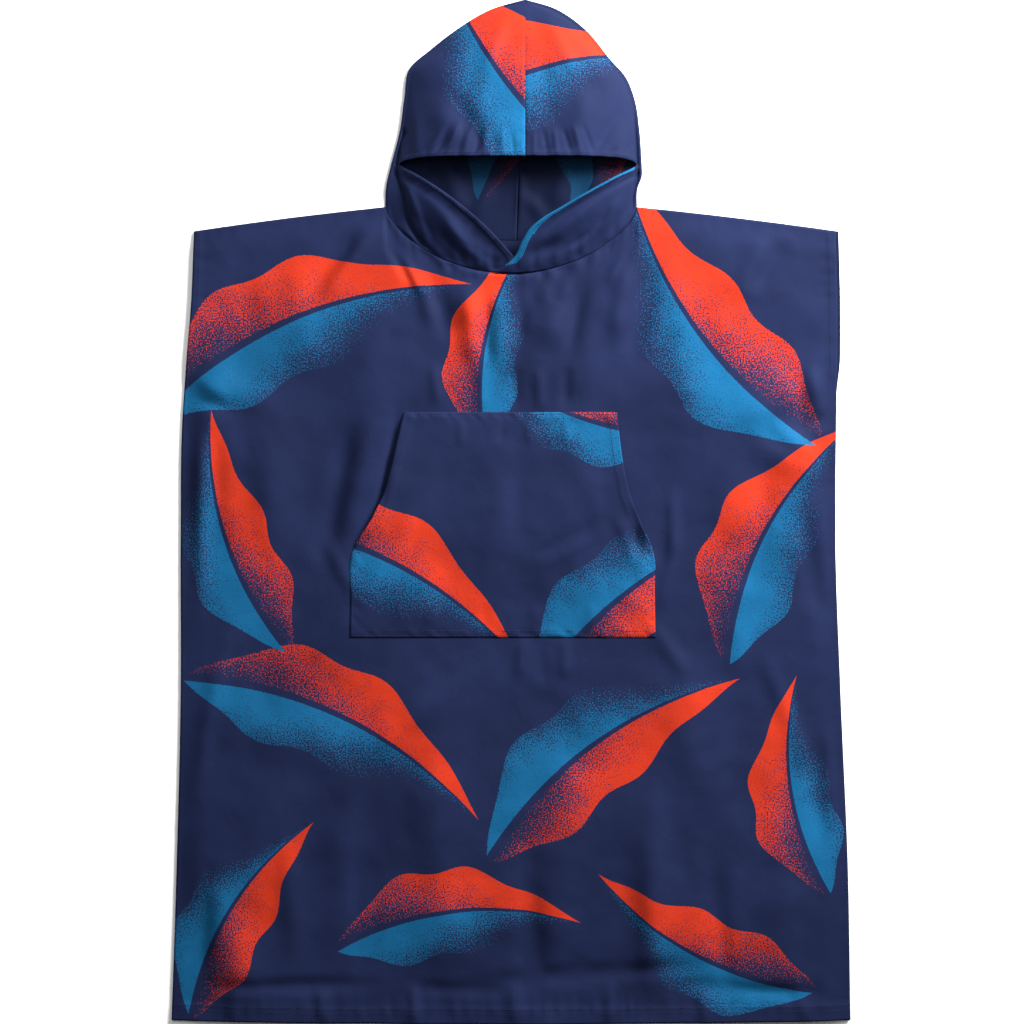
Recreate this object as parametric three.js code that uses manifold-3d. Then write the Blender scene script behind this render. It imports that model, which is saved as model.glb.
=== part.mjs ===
// A hooded bath poncho of thin quick-drying cloth, laid flat on its back.
// Millimetres: +X runs across it, +Y from the hem to the hood, +Z up from the surface it lies on.
// Each cut piece is a thin closed wall: the back, the front, the pocket and the two halves of the hood.

import * as THREE from "three";
import { mergeVertices } from "three/addons/utils/BufferGeometryUtils.js";
import Module from "manifold-3d";

const { clamp, degToRad, lerp, smoothstep } = THREE.MathUtils;

// Cloth and making
const CLOTH = 1.2;
const SEAM_GAP = 0.3;
const SEAM_FADE = 34;

// Body
const TOTAL_LENGTH = 1228;
const PEAK_Y = TOTAL_LENGTH / 2;
const HEM_Y = -TOTAL_LENGTH / 2;
const HEM_SAG = 5;
const SHOULDER_TIP_Y = 336;
const SHOULDER_BOW = 1.5;
const ARMHOLE_DEPTH = 200;
const ARMHOLE_GAPE = 2;
const BACK_SHOWS = { left: 0, right: 4 };
const BODY_LOFT = 1.8;

// Neck
const NECK_SIDE_Y = 365;
const NECK_HALF = 151;
const FRONT_NECK_DEPTH = 80;
const FRONT_NECK_SQUARENESS = 0.7;
const BACK_NECK_DEPTH = 40;
const NECK_LIFT = 4;
const NECK_REACH = 60;

// Pocket
const POCKET_TOP_Y = 119;
const POCKET_MOUTH_END_Y = -49;
const POCKET_FOOT_Y = -151;
const POCKET_LOFT = 3;
const MOUTH_STEPS = 8;
const PRISM_DEPTH = 90;

// Hood
const CORNER_Y = 415;
const BRIM_RISE = 7;
const BRIM_SQUARENESS = 8;
const CAP_LIFT = 30;
const COLLAR_PUFF = 7;
const SIDE_FOLD_DEPTH = 4;
const SIDE_FOLD_HALF_HEIGHT = { neck: CLOTH + SEAM_GAP / 2, hood: 3 };
const CROWN_SEAM_X = 17;
const BACK_SEAM_X = { neck: 8, peak: 17 };
const LAP_LIFT = CLOTH + 3 * SEAM_GAP;

// Half widths of the body at heights up its sides
const BODY_SIDES = [
  { y: -614, left: 407, right: 407 },
  { y: -430, left: 401, right: 404 },
  { y: -214, left: 396, right: 395 },
  { y: -34, left: 396, right: 389 },
  { y: 110, left: 394, right: 390 },
  { y: 180, left: 389, right: 391 },
  { y: 254, left: 383, right: 391 },
  { y: 336, left: 380, right: 389 },
];

// Each side of the pocket: its top corner, its hand opening and its side seam
const POCKET_SIDES = [
  { side: "left", topX: -128, bowX: -145, bowY: 48, endX: -190, footX: -193 },
  { side: "right", topX: 127, bowX: 137, bowY: 42, endX: 171, footX: 173 },
];

// Each half of the hood: half widths up the collar, the cap's outline, and the edge of the face opening.
// In the edge's rows, up is 0 at the neck seam and 1 at the corner of the opening.
const HOOD_HALVES = [
  {
    name: "hood_left",
    sign: -1,
    collar: [
      { y: 365, half: 151 },
      { y: 388, half: 150 },
      { y: 415, half: 144 },
    ],
    cap: [
      { x: -144, y: 415 },
      { x: -133, y: 458 },
      { x: -128, y: 495 },
      { x: -122, y: 530 },
      { x: -96, y: 554 },
      { x: -65, y: 578 },
      { x: -24, y: 602 },
    ],
    edge: [
      { up: 0, x: 14 },
      { up: 0.17, x: 1 },
      { up: 0.27, x: -11 },
      { up: 0.37, x: -24 },
      { up: 0.47, x: -39 },
      { up: 0.6, x: -62 },
      { up: 0.86, x: -113 },
      { up: 1, x: -134 },
    ],
    lap: 0,
  },
  {
    name: "hood_right",
    sign: 1,
    collar: [
      { y: 365, half: 151 },
      { y: 388, half: 152 },
      { y: 402, half: 157 },
      { y: 415, half: 157 },
    ],
    cap: [
      { x: 157, y: 415 },
      { x: 154, y: 458 },
      { x: 148, y: 495 },
      { x: 138, y: 520 },
      { x: 119, y: 542 },
      { x: 90, y: 577 },
      { x: 55, y: 602 },
    ],
    edge: [
      { up: 0, x: -24 },
      { up: 0.05, x: -11 },
      { up: 0.12, x: 1 },
      { up: 0.28, x: 13 },
      { up: 0.41, x: 25 },
      { up: 0.48, x: 38 },
      { up: 0.58, x: 64 },
      { up: 0.78, x: 115 },
      { up: 1, x: 150 },
    ],
    lap: LAP_LIFT,
  },
];

// Soft folds of the front: middle, heading from +X in degrees, length, half width and height
const BODY_FOLDS = [
  { x: -178, y: 44, heading: 76, length: 260, width: 24, height: 8 },
  { x: -232, y: 60, heading: 84, length: 240, width: 24, height: -1.8 },
  { x: -356, y: 66, heading: 88, length: 260, width: 22, height: 4 },
  { x: -46, y: 222, heading: 94, length: 150, width: 22, height: 4.6 },
  { x: 30, y: 196, heading: 86, length: 130, width: 22, height: 3 },
  { x: 92, y: 206, heading: 80, length: 170, width: 24, height: 4 },
  { x: 206, y: 200, heading: 100, length: 280, width: 26, height: 4.4 },
  { x: -152, y: 246, heading: 62, length: 180, width: 22, height: 4 },
  { x: -250, y: 232, heading: 104, length: 200, width: 28, height: 2.6 },
  { x: 322, y: 132, heading: 26, length: 150, width: 18, height: 5 },
  { x: 326, y: 66, heading: -24, length: 130, width: 20, height: 4.4 },
  { x: -322, y: 142, heading: 150, length: 130, width: 18, height: 4 },
  { x: 262, y: -30, heading: 86, length: 280, width: 28, height: 4.2 },
  { x: 214, y: -260, heading: 98, length: 220, width: 26, height: 3 },
  { x: 172, y: -462, heading: 90, length: 330, width: 26, height: 5.6 },
  { x: 58, y: -440, heading: 86, length: 320, width: 24, height: 3.6 },
  { x: -86, y: -425, heading: 93, length: 360, width: 26, height: 5 },
  { x: -200, y: -400, heading: 88, length: 300, width: 24, height: 3.4 },
  { x: -342, y: -505, heading: 112, length: 230, width: 24, height: 6 },
  { x: 322, y: -420, heading: 95, length: 340, width: 26, height: 4 },
];

// Soft folds of the hood's upper layer: gathers behind the brim, hollows of the cap, then the collar's tucks
const HOOD_FOLDS = [
  { x: -98, y: 452, heading: 74, length: 90, width: 9, height: 3 },
  { x: -70, y: 456, heading: 82, length: 100, width: 9, height: 3.4 },
  { x: -30, y: 450, heading: 92, length: 90, width: 9, height: 2.4 },
  { x: 80, y: 452, heading: 104, length: 90, width: 10, height: 3 },
  { x: 112, y: 458, heading: 112, length: 100, width: 11, height: 3.6 },
  { x: -46, y: 520, heading: 84, length: 130, width: 16, height: -3 },
  { x: 92, y: 505, heading: 118, length: 120, width: 18, height: -3 },
  { x: -122, y: 366, heading: -68, length: 130, width: 10, height: -8 },
  { x: -90, y: 352, heading: -64, length: 130, width: 14, height: 5 },
  { x: 112, y: 366, heading: 52, length: 110, width: 10, height: -6 },
  { x: 88, y: 338, heading: 48, length: 110, width: 13, height: 4.6 },
  { x: 136, y: 352, heading: 70, length: 70, width: 9, height: 3.4 },
];

// Grid lines of the walls
const NECK_STEPS = 14;
const FRONT_STEPS = { shoulder: 9, rows: 36 };
const BACK_STEPS = { shoulder: 4, rows: 12 };
const HOOD_STEPS = { brim: 7, strip: 11, sideFold: 4, back: 6, collar: 8, cap: 11 };
const HOOD_FRONT = HOOD_STEPS.brim + HOOD_STEPS.strip;
const HOOD_COLUMNS = HOOD_FRONT + HOOD_STEPS.sideFold + HOOD_STEPS.back;
const HOOD_ROWS = HOOD_STEPS.collar + HOOD_STEPS.cap;

// Colours of the cloth
const BODY_COLOUR = 0x2a335f;
const POCKET_COLOUR = 0x2e3766;
const HOOD_COLOUR = 0x333c6c;
const CLOTH_ROUGHNESS = 0.78;

// A smooth function through a table: it takes a value of the key column and gives the other column's.
function tableCurve(table, key, column) {
  const keys = table.map((row) => row[key]);
  const values = table.map((row) => row[column]);
  const curve = new THREE.CubicInterpolant(keys, values, 1);
  return (at) => curve.evaluate(clamp(at, keys[0], keys.at(-1)))[0];
}

// Height that one fold adds at a point: rounded across its line, and dying out towards both ends.
function foldHeight(fold, x, y) {
  const turn = degToRad(fold.heading);
  const along = (x - fold.x) * Math.cos(turn) + (y - fold.y) * Math.sin(turn);
  const across = (y - fold.y) * Math.cos(turn) - (x - fold.x) * Math.sin(turn);
  const taper = smoothstep(fold.length / 2 - Math.abs(along), 0, fold.length / 3);
  return fold.height * taper * Math.exp(-((across / fold.width) ** 2));
}

const foldsHeight = (folds, x, y) =>
  folds.reduce((height, fold) => height + foldHeight(fold, x, y), 0);

// A closed wall from a grid of upper and a grid of lower points, with a rim along every free edge.
// pointAt(column, row, isOuter) gives each point, and isCut(column, row) leaves cells out.
function clothWall(columns, rows, pointAt, isCut = () => false) {
  const positions = [];
  const known = new Map();
  const triangles = [];
  const indexOf = (point) => {
    const key = point.toArray().map((value) => value.toFixed(3)).join(" ");
    if (!known.has(key)) {
      known.set(key, positions.length / 3);
      positions.push(...point.toArray());
    }
    return known.get(key);
  };
  const gridOf = (isOuter) =>
    Array.from({ length: rows + 1 }, (_, row) =>
      Array.from({ length: columns + 1 }, (_, column) => indexOf(pointAt(column, row, isOuter))),
    );
  const outer = gridOf(true);
  const inner = gridOf(false);
  const addTriangle = (a, b, c) => {
    if (a !== b && b !== c && c !== a) triangles.push(a, b, c);
  };
  const isMissing = (column, row) =>
    column < 0 || row < 0 || column >= columns || row >= rows || isCut(column, row);
  const addRim = ([i, j], [k, l]) => {
    addTriangle(outer[l][k], outer[j][i], inner[j][i]);
    addTriangle(outer[l][k], inner[j][i], inner[l][k]);
  };
  for (let row = 0; row < rows; row++) {
    for (let column = 0; column < columns; column++) {
      if (isMissing(column, row)) continue;
      const [a, b, c, d] = [
        [column, row],
        [column + 1, row],
        [column + 1, row + 1],
        [column, row + 1],
      ];
      for (const [p, q, r] of [[a, b, c], [a, c, d]]) {
        addTriangle(outer[p[1]][p[0]], outer[q[1]][q[0]], outer[r[1]][r[0]]);
        addTriangle(inner[r[1]][r[0]], inner[q[1]][q[0]], inner[p[1]][p[0]]);
      }
      if (isMissing(column, row - 1)) addRim(a, b);
      if (isMissing(column + 1, row)) addRim(b, c);
      if (isMissing(column, row + 1)) addRim(c, d);
      if (isMissing(column - 1, row)) addRim(d, a);
    }
  }
  return new THREE.BufferGeometry()
    .setAttribute("position", new THREE.Float32BufferAttribute(positions, 3))
    .setIndex(triangles);
}

// Neckline: straight runs between shared places, so that every piece sewn to it has the same edge.
const NECK_PLACES = Array.from({ length: NECK_STEPS + 1 }, (_, i) => {
  const even = (2 * i) / NECK_STEPS - 1;
  const crowded = -Math.cos((Math.PI * i) / NECK_STEPS);
  return (even + crowded) / 2;
});

function neckDip(depth, squareness) {
  const dips = NECK_PLACES.map((share) => -depth * Math.max(0, 1 - share ** 2) ** squareness);
  const edge = new THREE.LinearInterpolant(NECK_PLACES, dips, 1);
  return (share) => edge.evaluate(clamp(share, -1, 1))[0];
}

const frontNeckDip = neckDip(FRONT_NECK_DEPTH, FRONT_NECK_SQUARENESS);
const backNeckDip = neckDip(BACK_NECK_DEPTH, 1);
const neckLift = (x) => NECK_LIFT * Math.max(0, 1 - (x / NECK_HALF) ** 2);

// Body outline
const leftHalf = tableCurve(BODY_SIDES, "y", "left");
const rightHalf = tableCurve(BODY_SIDES, "y", "right");
const halfAt = (x, y) => (x < 0 ? leftHalf(y) : rightHalf(y));
const tipHalf = (x) => halfAt(x, SHOULDER_TIP_Y);
const hemEdgeY = (x) => HEM_Y + HEM_SAG * (x / leftHalf(HEM_Y)) ** 2;
const inArmhole = (y) => {
  const end = SHOULDER_TIP_Y - ARMHOLE_DEPTH;
  return smoothstep(y, end, end + ARMHOLE_DEPTH / 4);
};

function shoulderY(x) {
  const out = clamp((Math.abs(x) - NECK_HALF) / (tipHalf(x) - NECK_HALF), 0, 1);
  return lerp(NECK_SIDE_Y, SHOULDER_TIP_Y, out) + SHOULDER_BOW * 4 * out * (1 - out);
}

const topEdgeY = (x, dip) => shoulderY(x) + (Math.abs(x) < NECK_HALF ? dip(x / NECK_HALF) : 0);

// How far the front stands clear of the back: nothing at the side and shoulder seams, more at its folds.
function frontLoft(x, y) {
  const atSide = smoothstep(halfAt(x, y) - Math.abs(x), 0, SEAM_FADE);
  const atShoulder = smoothstep(shoulderY(x) - y, 0, SEAM_FADE);
  const gape = ARMHOLE_GAPE * inArmhole(y) * atShoulder * (1 - atSide);
  const open = Math.max(0, BODY_LOFT + foldsHeight(BODY_FOLDS, x, y));
  const body = atSide * atShoulder * open + gape;
  if (Math.abs(x) >= NECK_HALF) return body;
  const nearNeck = 1 - smoothstep(topEdgeY(x, frontNeckDip) - y, 0, NECK_REACH);
  return lerp(body, neckLift(x), nearNeck);
}

const frontUnder = (x, y) => CLOTH + SEAM_GAP + frontLoft(x, y);

// Column places across a body panel, from tip to tip of its shoulders.
function columnPlaces(shoulderSteps) {
  const left = Array.from({ length: shoulderSteps }, (_, i) =>
    -lerp(tipHalf(-1), NECK_HALF, i / shoulderSteps),
  );
  const right = Array.from({ length: shoulderSteps }, (_, i) =>
    lerp(NECK_HALF, tipHalf(1), (i + 1) / shoulderSteps),
  );
  return [...left, ...NECK_PLACES.map((share) => share * NECK_HALF), ...right];
}

// A body panel's wall: its columns keep to the neckline in the middle and follow the sides further out.
function bodyWall(steps, dip, shows, heightAt) {
  const columns = columnPlaces(steps.shoulder);
  return clothWall(columns.length - 1, steps.rows, (column, row, isOuter) => {
    const place = columns[column];
    const y = lerp(hemEdgeY(place), topEdgeY(place, dip), row / steps.rows);
    const outward = Math.max(0, (Math.abs(place) - NECK_HALF) / (tipHalf(place) - NECK_HALF));
    const extra = (place < 0 ? shows.left : shows.right) * inArmhole(y);
    const x = place + Math.sign(place) * outward * (halfAt(place, y) + extra - tipHalf(place));
    return new THREE.Vector3(x, y, heightAt(x, y, isOuter));
  });
}

const backPanel = () =>
  bodyWall(BACK_STEPS, backNeckDip, BACK_SHOWS, (x, y, isOuter) => (isOuter ? CLOTH : 0));

const frontPanel = () =>
  bodyWall(FRONT_STEPS, frontNeckDip, { left: 0, right: 0 }, (x, y, isOuter) =>
    frontUnder(x, y) + (isOuter ? CLOTH : 0),
  );

// Pocket: the front's own points moved out, and cut to the pocket's outline.
const wasm = await Module();
wasm.setup();

function solidOf(geometry) {
  geometry.deleteAttribute("normal");
  geometry.deleteAttribute("uv");
  const merged = mergeVertices(geometry, 1e-4);
  return new wasm.Manifold(
    new wasm.Mesh({
      numProp: 3,
      vertProperties: new Float32Array(merged.getAttribute("position").array),
      triVerts: new Uint32Array(merged.index.array),
    }),
  );
}

function geometryOf(solid) {
  const { vertProperties, triVerts } = solid.getMesh();
  return new THREE.BufferGeometry()
    .setAttribute("position", new THREE.BufferAttribute(vertProperties, 3))
    .setIndex(new THREE.BufferAttribute(triVerts, 1));
}

// How far the pocket stands off the front: nothing at its seams, most at the two hand openings.
function pocketLoft(x, y) {
  const { footX } = POCKET_SIDES.find((row) => Math.sign(row.footX) === Math.sign(x)) ?? POCKET_SIDES[0];
  const up = clamp((y - POCKET_FOOT_Y) / (POCKET_TOP_Y - POCKET_FOOT_Y), 0, 1);
  const beside = smoothstep(y, POCKET_MOUTH_END_Y, POCKET_MOUTH_END_Y + SEAM_FADE);
  const fromSeam = smoothstep(Math.abs(footX) - Math.abs(x), 0, SEAM_FADE);
  return POCKET_LOFT * Math.sin(Math.PI * up) * lerp(fromSeam, 1, beside);
}

function mouthPoints({ topX, bowX, bowY, endX }) {
  const edge = new THREE.SplineCurve([
    new THREE.Vector2(topX, POCKET_TOP_Y),
    new THREE.Vector2(bowX, bowY),
    new THREE.Vector2(endX, POCKET_MOUTH_END_Y),
  ]);
  return edge.getPoints(MOUTH_STEPS);
}

function pocket() {
  const layer = bodyWall(FRONT_STEPS, frontNeckDip, { left: 0, right: 0 }, (x, y, isOuter) => {
    const under = frontUnder(x, y) + CLOTH + SEAM_GAP + pocketLoft(x, y);
    return under + (isOuter ? CLOTH : 0);
  });
  const [left, right] = POCKET_SIDES;
  const outline = new THREE.Shape([
    ...mouthPoints(left),
    new THREE.Vector2(left.footX, POCKET_FOOT_Y),
    new THREE.Vector2(right.footX, POCKET_FOOT_Y),
    ...mouthPoints(right).reverse(),
  ]);
  const prism = new THREE.ExtrudeGeometry(outline, { depth: PRISM_DEPTH, bevelEnabled: false });
  return geometryOf(solidOf(layer).intersect(solidOf(prism)));
}

// Hood: the seam down its back leans to the right as it rises.
const backSeamX = (y) =>
  lerp(BACK_SEAM_X.neck, BACK_SEAM_X.peak, (y - NECK_SIDE_Y) / (PEAK_Y - NECK_SIDE_Y));

// One row of a half's grid, with the line of its side fold and the places of its seam on both layers.
function hoodRow(half, row) {
  const up = clamp(row / HOOD_STEPS.collar, 0, 1);
  const cap = clamp((row - HOOD_STEPS.collar) / HOOD_STEPS.cap, 0, 1);
  const seamSide = (half.sign * SEAM_GAP) / 2;
  const outline = new THREE.Vector2();
  const outward = new THREE.Vector2(half.sign, 0);
  if (cap === 0) {
    const y = lerp(NECK_SIDE_Y + SEAM_GAP, CORNER_Y, up);
    outline.set(half.sign * half.halfWidthAt(y), y);
  } else if (cap === 1) {
    outline.set(CROWN_SEAM_X + seamSide, PEAK_Y);
    outward.set(0, 1);
  } else {
    const along = half.outlineCurve.getTangentAt(cap);
    half.outlineCurve.getPointAt(cap, outline);
    outward.set(half.sign * along.y, -half.sign * along.x);
  }
  const fold = outline.clone().addScaledVector(outward, -SIDE_FOLD_DEPTH);
  return {
    up,
    cap,
    outline,
    outward,
    fold,
    halfHeight: lerp(SIDE_FOLD_HALF_HEIGHT.neck, SIDE_FOLD_HALF_HEIGHT.hood, smoothstep(up, 0, 0.6)),
    seamX: CROWN_SEAM_X + seamSide,
    backSeamX: backSeamX(fold.y + (1 - up) * backNeckDip(0)) + seamSide,
  };
}

// Height of the hood's upper layer, at a share of the way from the crown seam to the side fold.
function upperHeight(half, row, share, x, y) {
  const round = 1 - clamp(share, 0, 1) ** 4;
  const lift = row.up * CAP_LIFT * (1 - row.cap ** 1.5);
  const puff = COLLAR_PUFF * 4 * row.up * (1 - row.up);
  const settled = smoothstep(row.up, 0, 0.3) * (1 - row.cap ** 4);
  const folds = settled * foldsHeight(HOOD_FOLDS, x, y);
  const lap = half.lap * (1 - smoothstep(x, 14, 50)) * (1 - smoothstep(row.up, 0.13, 0.4));
  const height = 2 * row.halfHeight + (lift + puff + folds) * round + lap;
  return Math.max(height, 2 * CLOTH + SEAM_GAP) + (1 - row.up) * neckLift(x);
}

// A point of the cap, between the brim and the peak.
function capPoint(half, column, row) {
  const even = HOOD_STEPS.brim / HOOD_FRONT;
  const atBrim = (half.edgeX(1) - row.seamX) / (row.fold.x - row.seamX);
  const corner = row.cap === 1 ? 1 : lerp(atBrim, even, smoothstep(row.cap, 0, 0.5));
  const share =
    column <= HOOD_STEPS.brim
      ? (column / HOOD_STEPS.brim) * corner
      : lerp(corner, 1, (column - HOOD_STEPS.brim) / HOOD_STEPS.strip);
  const arch = Math.max(0, 1 - (share / corner) ** BRIM_SQUARENESS) * (1 - row.cap) ** 2;
  const x = lerp(row.seamX, row.fold.x, share);
  const y = row.fold.y + BRIM_RISE * arch;
  return new THREE.Vector3(x, y, upperHeight(half, row, share, x, y));
}

// A point of the collar, between the edge of the face opening and the side fold.
function collarPoint(half, column, row) {
  const across = (column - HOOD_STEPS.brim) / HOOD_STEPS.strip;
  const x = lerp(half.edgeX(row.up), row.fold.x, across);
  const share = (x - row.seamX) / (row.fold.x - row.seamX);
  const y = row.outline.y + (1 - row.up) * frontNeckDip(x / Math.abs(row.outline.x));
  return new THREE.Vector3(x, y, upperHeight(half, row, share, x, y));
}

// A point round the side fold, from the upper layer to the lower one.
function sideFoldPoint(half, column, row, inset) {
  const turn = Math.PI * (0.5 - (column - HOOD_FRONT) / HOOD_STEPS.sideFold);
  const out = (SIDE_FOLD_DEPTH - inset) * Math.cos(turn);
  const dip = turn > 0 ? frontNeckDip : backNeckDip;
  const x = row.fold.x + row.outward.x * out;
  const y = row.fold.y + row.outward.y * out + (1 - row.up) * dip(x / Math.abs(row.outline.x));
  return new THREE.Vector3(x, y, row.halfHeight + (row.halfHeight - inset) * Math.sin(turn));
}

// A point of the lower layer, between the side fold and the seam down the back.
function backPoint(half, column, row, inset) {
  const across = (column - HOOD_FRONT - HOOD_STEPS.sideFold) / HOOD_STEPS.back;
  const x = lerp(row.fold.x, row.backSeamX, across);
  const y = row.fold.y + (1 - row.up) * backNeckDip(x / Math.abs(row.outline.x));
  return new THREE.Vector3(x, y, inset);
}

function hoodPoint(half, column, rowIndex, isOuter) {
  const row = half.rows[rowIndex];
  const inset = isOuter ? 0 : CLOTH;
  if (column > HOOD_FRONT + HOOD_STEPS.sideFold) return backPoint(half, column, row, inset);
  if (column > HOOD_FRONT) return sideFoldPoint(half, column, row, inset);
  const isCollar = row.cap === 0 && column > HOOD_STEPS.brim;
  const isEdge = row.up < 1 && column <= HOOD_STEPS.brim;
  const point = isCollar || isEdge
    ? collarPoint(half, Math.max(column, HOOD_STEPS.brim), row)
    : capPoint(half, column, row);
  point.z -= inset;
  return point;
}

function hoodHalf(table) {
  const half = {
    ...table,
    halfWidthAt: tableCurve(table.collar, "y", "half"),
    edgeX: tableCurve(table.edge, "up", "x"),
    outlineCurve: new THREE.SplineCurve([
      ...table.cap.map(({ x, y }) => new THREE.Vector2(x, y)),
      new THREE.Vector2(CROWN_SEAM_X, PEAK_Y),
    ]),
  };
  half.rows = Array.from({ length: HOOD_ROWS + 1 }, (_, row) => hoodRow(half, row));
  const gridColumn = (column, last) => (half.sign < 0 ? last - column : column);
  return clothWall(
    HOOD_COLUMNS,
    HOOD_ROWS,
    (column, row, isOuter) => hoodPoint(half, gridColumn(column, HOOD_COLUMNS), row, isOuter),
    (column, row) =>
      row < HOOD_STEPS.collar && gridColumn(column, HOOD_COLUMNS - 1) < HOOD_STEPS.brim,
  );
}

// The garment
const garment = new THREE.Group();

function addPiece(name, geometry, color) {
  const cloth = new THREE.MeshStandardMaterial({ color, roughness: CLOTH_ROUGHNESS, metalness: 0 });
  const piece = new THREE.Mesh(geometry, cloth);
  piece.name = name;
  garment.add(piece);
}

addPiece("back_panel", backPanel(), BODY_COLOUR);
addPiece("front_panel", frontPanel(), BODY_COLOUR);
addPiece("pocket", pocket(), POCKET_COLOUR);
for (const table of HOOD_HALVES) addPiece(table.name, hoodHalf(table), HOOD_COLOUR);

export default garment;
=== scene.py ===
import math
from typing import NamedTuple

import bmesh
import bpy
import numpy as np
from mathutils import Matrix, Vector, noise


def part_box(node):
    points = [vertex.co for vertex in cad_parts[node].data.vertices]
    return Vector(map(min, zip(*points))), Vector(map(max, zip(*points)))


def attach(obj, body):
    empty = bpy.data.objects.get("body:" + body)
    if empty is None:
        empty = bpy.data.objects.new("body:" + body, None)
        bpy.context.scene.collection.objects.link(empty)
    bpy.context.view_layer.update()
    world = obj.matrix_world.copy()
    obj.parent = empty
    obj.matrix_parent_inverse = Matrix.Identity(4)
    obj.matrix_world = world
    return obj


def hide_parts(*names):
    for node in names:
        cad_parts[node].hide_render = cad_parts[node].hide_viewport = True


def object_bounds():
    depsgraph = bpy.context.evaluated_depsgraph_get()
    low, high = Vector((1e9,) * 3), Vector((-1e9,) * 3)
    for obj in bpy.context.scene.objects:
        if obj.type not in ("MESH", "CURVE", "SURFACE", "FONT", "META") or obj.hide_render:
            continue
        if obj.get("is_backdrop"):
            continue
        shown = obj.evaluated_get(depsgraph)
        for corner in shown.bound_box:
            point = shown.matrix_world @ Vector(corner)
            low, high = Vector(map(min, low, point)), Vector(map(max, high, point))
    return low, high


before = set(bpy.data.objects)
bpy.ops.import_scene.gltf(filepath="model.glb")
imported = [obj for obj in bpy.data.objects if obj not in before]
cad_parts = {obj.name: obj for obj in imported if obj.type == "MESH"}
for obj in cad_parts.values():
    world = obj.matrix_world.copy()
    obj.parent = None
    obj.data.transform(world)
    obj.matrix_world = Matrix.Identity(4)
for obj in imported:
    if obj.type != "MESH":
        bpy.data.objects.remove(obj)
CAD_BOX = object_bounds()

bl_info = {
    "name": "Hooded Bath Poncho",
    "version": (1, 0, 0),
    "blender": (4, 5, 0),
    "location": "View3D > Sidebar > Poncho",
    "description": "Models a hooded bath poncho of printed cloth, laid flat",
    "category": "Add Mesh",
}

# Camera of the photo, in metres and millimetres of its sensor
PHOTO_LENS = 85
PHOTO_SENSOR = 36
PHOTO_SCALE = 0.0012
PHOTO_WIDTH = 1024 * PHOTO_SCALE
PHOTO_CENTRE = (PHOTO_SCALE, -PHOTO_SCALE / 2)

# Sizes are in millimetres here, and become metres when a piece is made.
MM = 0.001


def cad_box(node):
    """The lowest and highest corners of a node of the frame, in millimetres."""
    low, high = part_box(node)
    return Vector(low) / MM, Vector(high) / MM


BODY_LOW, BODY_HIGH = cad_box("front_panel")
POCKET_LOW, POCKET_HIGH = cad_box("pocket")
HOOD_HIGH = cad_box("hood_left")[1]

# Walls of the frame
WALL = cad_box("back_panel")[1].z
SEAM_GAP = 0.3
# How close the hood's cloth comes to the seams round it
SEAM_TOUCH = 0.02
# How far from a side or shoulder seam the cloth still lies low
SEAM_FADE = 34
# How softly the front comes to rest on the back, in square millimetres
REST_SOFTNESS = 4
# A distance from which a seam or an edge no longer shapes the cloth
FAR = 60
# How much of the sewing's puckers the front takes, and the least share of it beside a side seam
SEWN_SHARE = 0.8
SEWN_AT_SIDE = 0.5
# Puckers are this many times as long across a seam as along it
PUCKER_STRETCH = 4

# Body: rows lie closer up to a little past the bottom hem
HEM_REACH = 1.15
HEM_Y = BODY_LOW.y
HEM_SAG = 5
NECK_SIDE_Y = BODY_HIGH.y
SHOULDER_TIP_Y = NECK_SIDE_Y - 29
SHOULDER_BOW = 1.5
ARMHOLE_END_Y = SHOULDER_TIP_Y - 200
ARMHOLE_START = 50
ARMHOLE_GAPE = 2
BACK_SHOWS = 4

# Neck: its seam lifts the front within its reach, and lies in a groove with puckers below it
NECK_HALF = 151
FRONT_NECK_DEPTH = 80
FRONT_NECK_SQUARENESS = 0.7
BACK_NECK_DEPTH = 40
NECK_LIFT = 4
NECK_REACH = 60
NECK_GROOVE = 0.5
NECK_GROOVE_WIDTH = 3
NECK_PUCKER_START = 3

# Pocket
POCKET_TOP_Y = POCKET_HIGH.y
POCKET_FOOT_Y = POCKET_LOW.y
MOUTH_END_Y = POCKET_FOOT_Y + 102
POCKET_LOFT = 3
MOUTH_GAPE_WIDTH = 26
# Its sewn edges: how far they hold the cloth down, where they pucker, and how they roll under
POCKET_SEAM_FADE = 24
POCKET_SEAM_INSET = 3
POCKET_ROLL = 1.3
POCKET_ROLL_WIDTH = 3.4
POCKET_SINK = 0.8
# Rows of stitches: from a hem's inner edge, the second row, and how far they keep from an end
ROW_INSET = 2
SECOND_ROW_INSET = 8
ROW_END = 3
# The pocket's rows of stitches, and those side by side that tack the mouths' lower ends
POCKET_ROW_INSET = 2.5
TACK_ROWS = 5
TACK_SPACING = 1.6

# Hood
PEAK_Y = HOOD_HIGH.y
CORNER_Y = 415
BRIM_RISE = 7
BRIM_SQUARENESS = 8
CAP_LIFT = 30
COLLAR_PUFF = 6
SIDE_FOLD_DEPTH = 4
NECK_FOLD_HALF = WALL + SEAM_GAP / 2
HOOD_FOLD_HALF = 3
# How far the right half lifts over the left one, and where that fades: in x, and up the collar
LAP_LIFT = WALL + 3 * SEAM_GAP
LAP_FADE_X = (14, 50)
LAP_FADE_UP = (0.13, 0.4)
# Where the column of the opening's corner runs higher up the cap, as a share of the way to the fold
EVEN_SHARE = 0.4
# Length of the cap along its outline, and how much nearer the collar's slanted edge is than along x
CAP_LENGTH = 260
EDGE_SLANT = 0.64
# Height of the collar, as the puckers at its foot count it
COLLAR_RISE = 60
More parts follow.
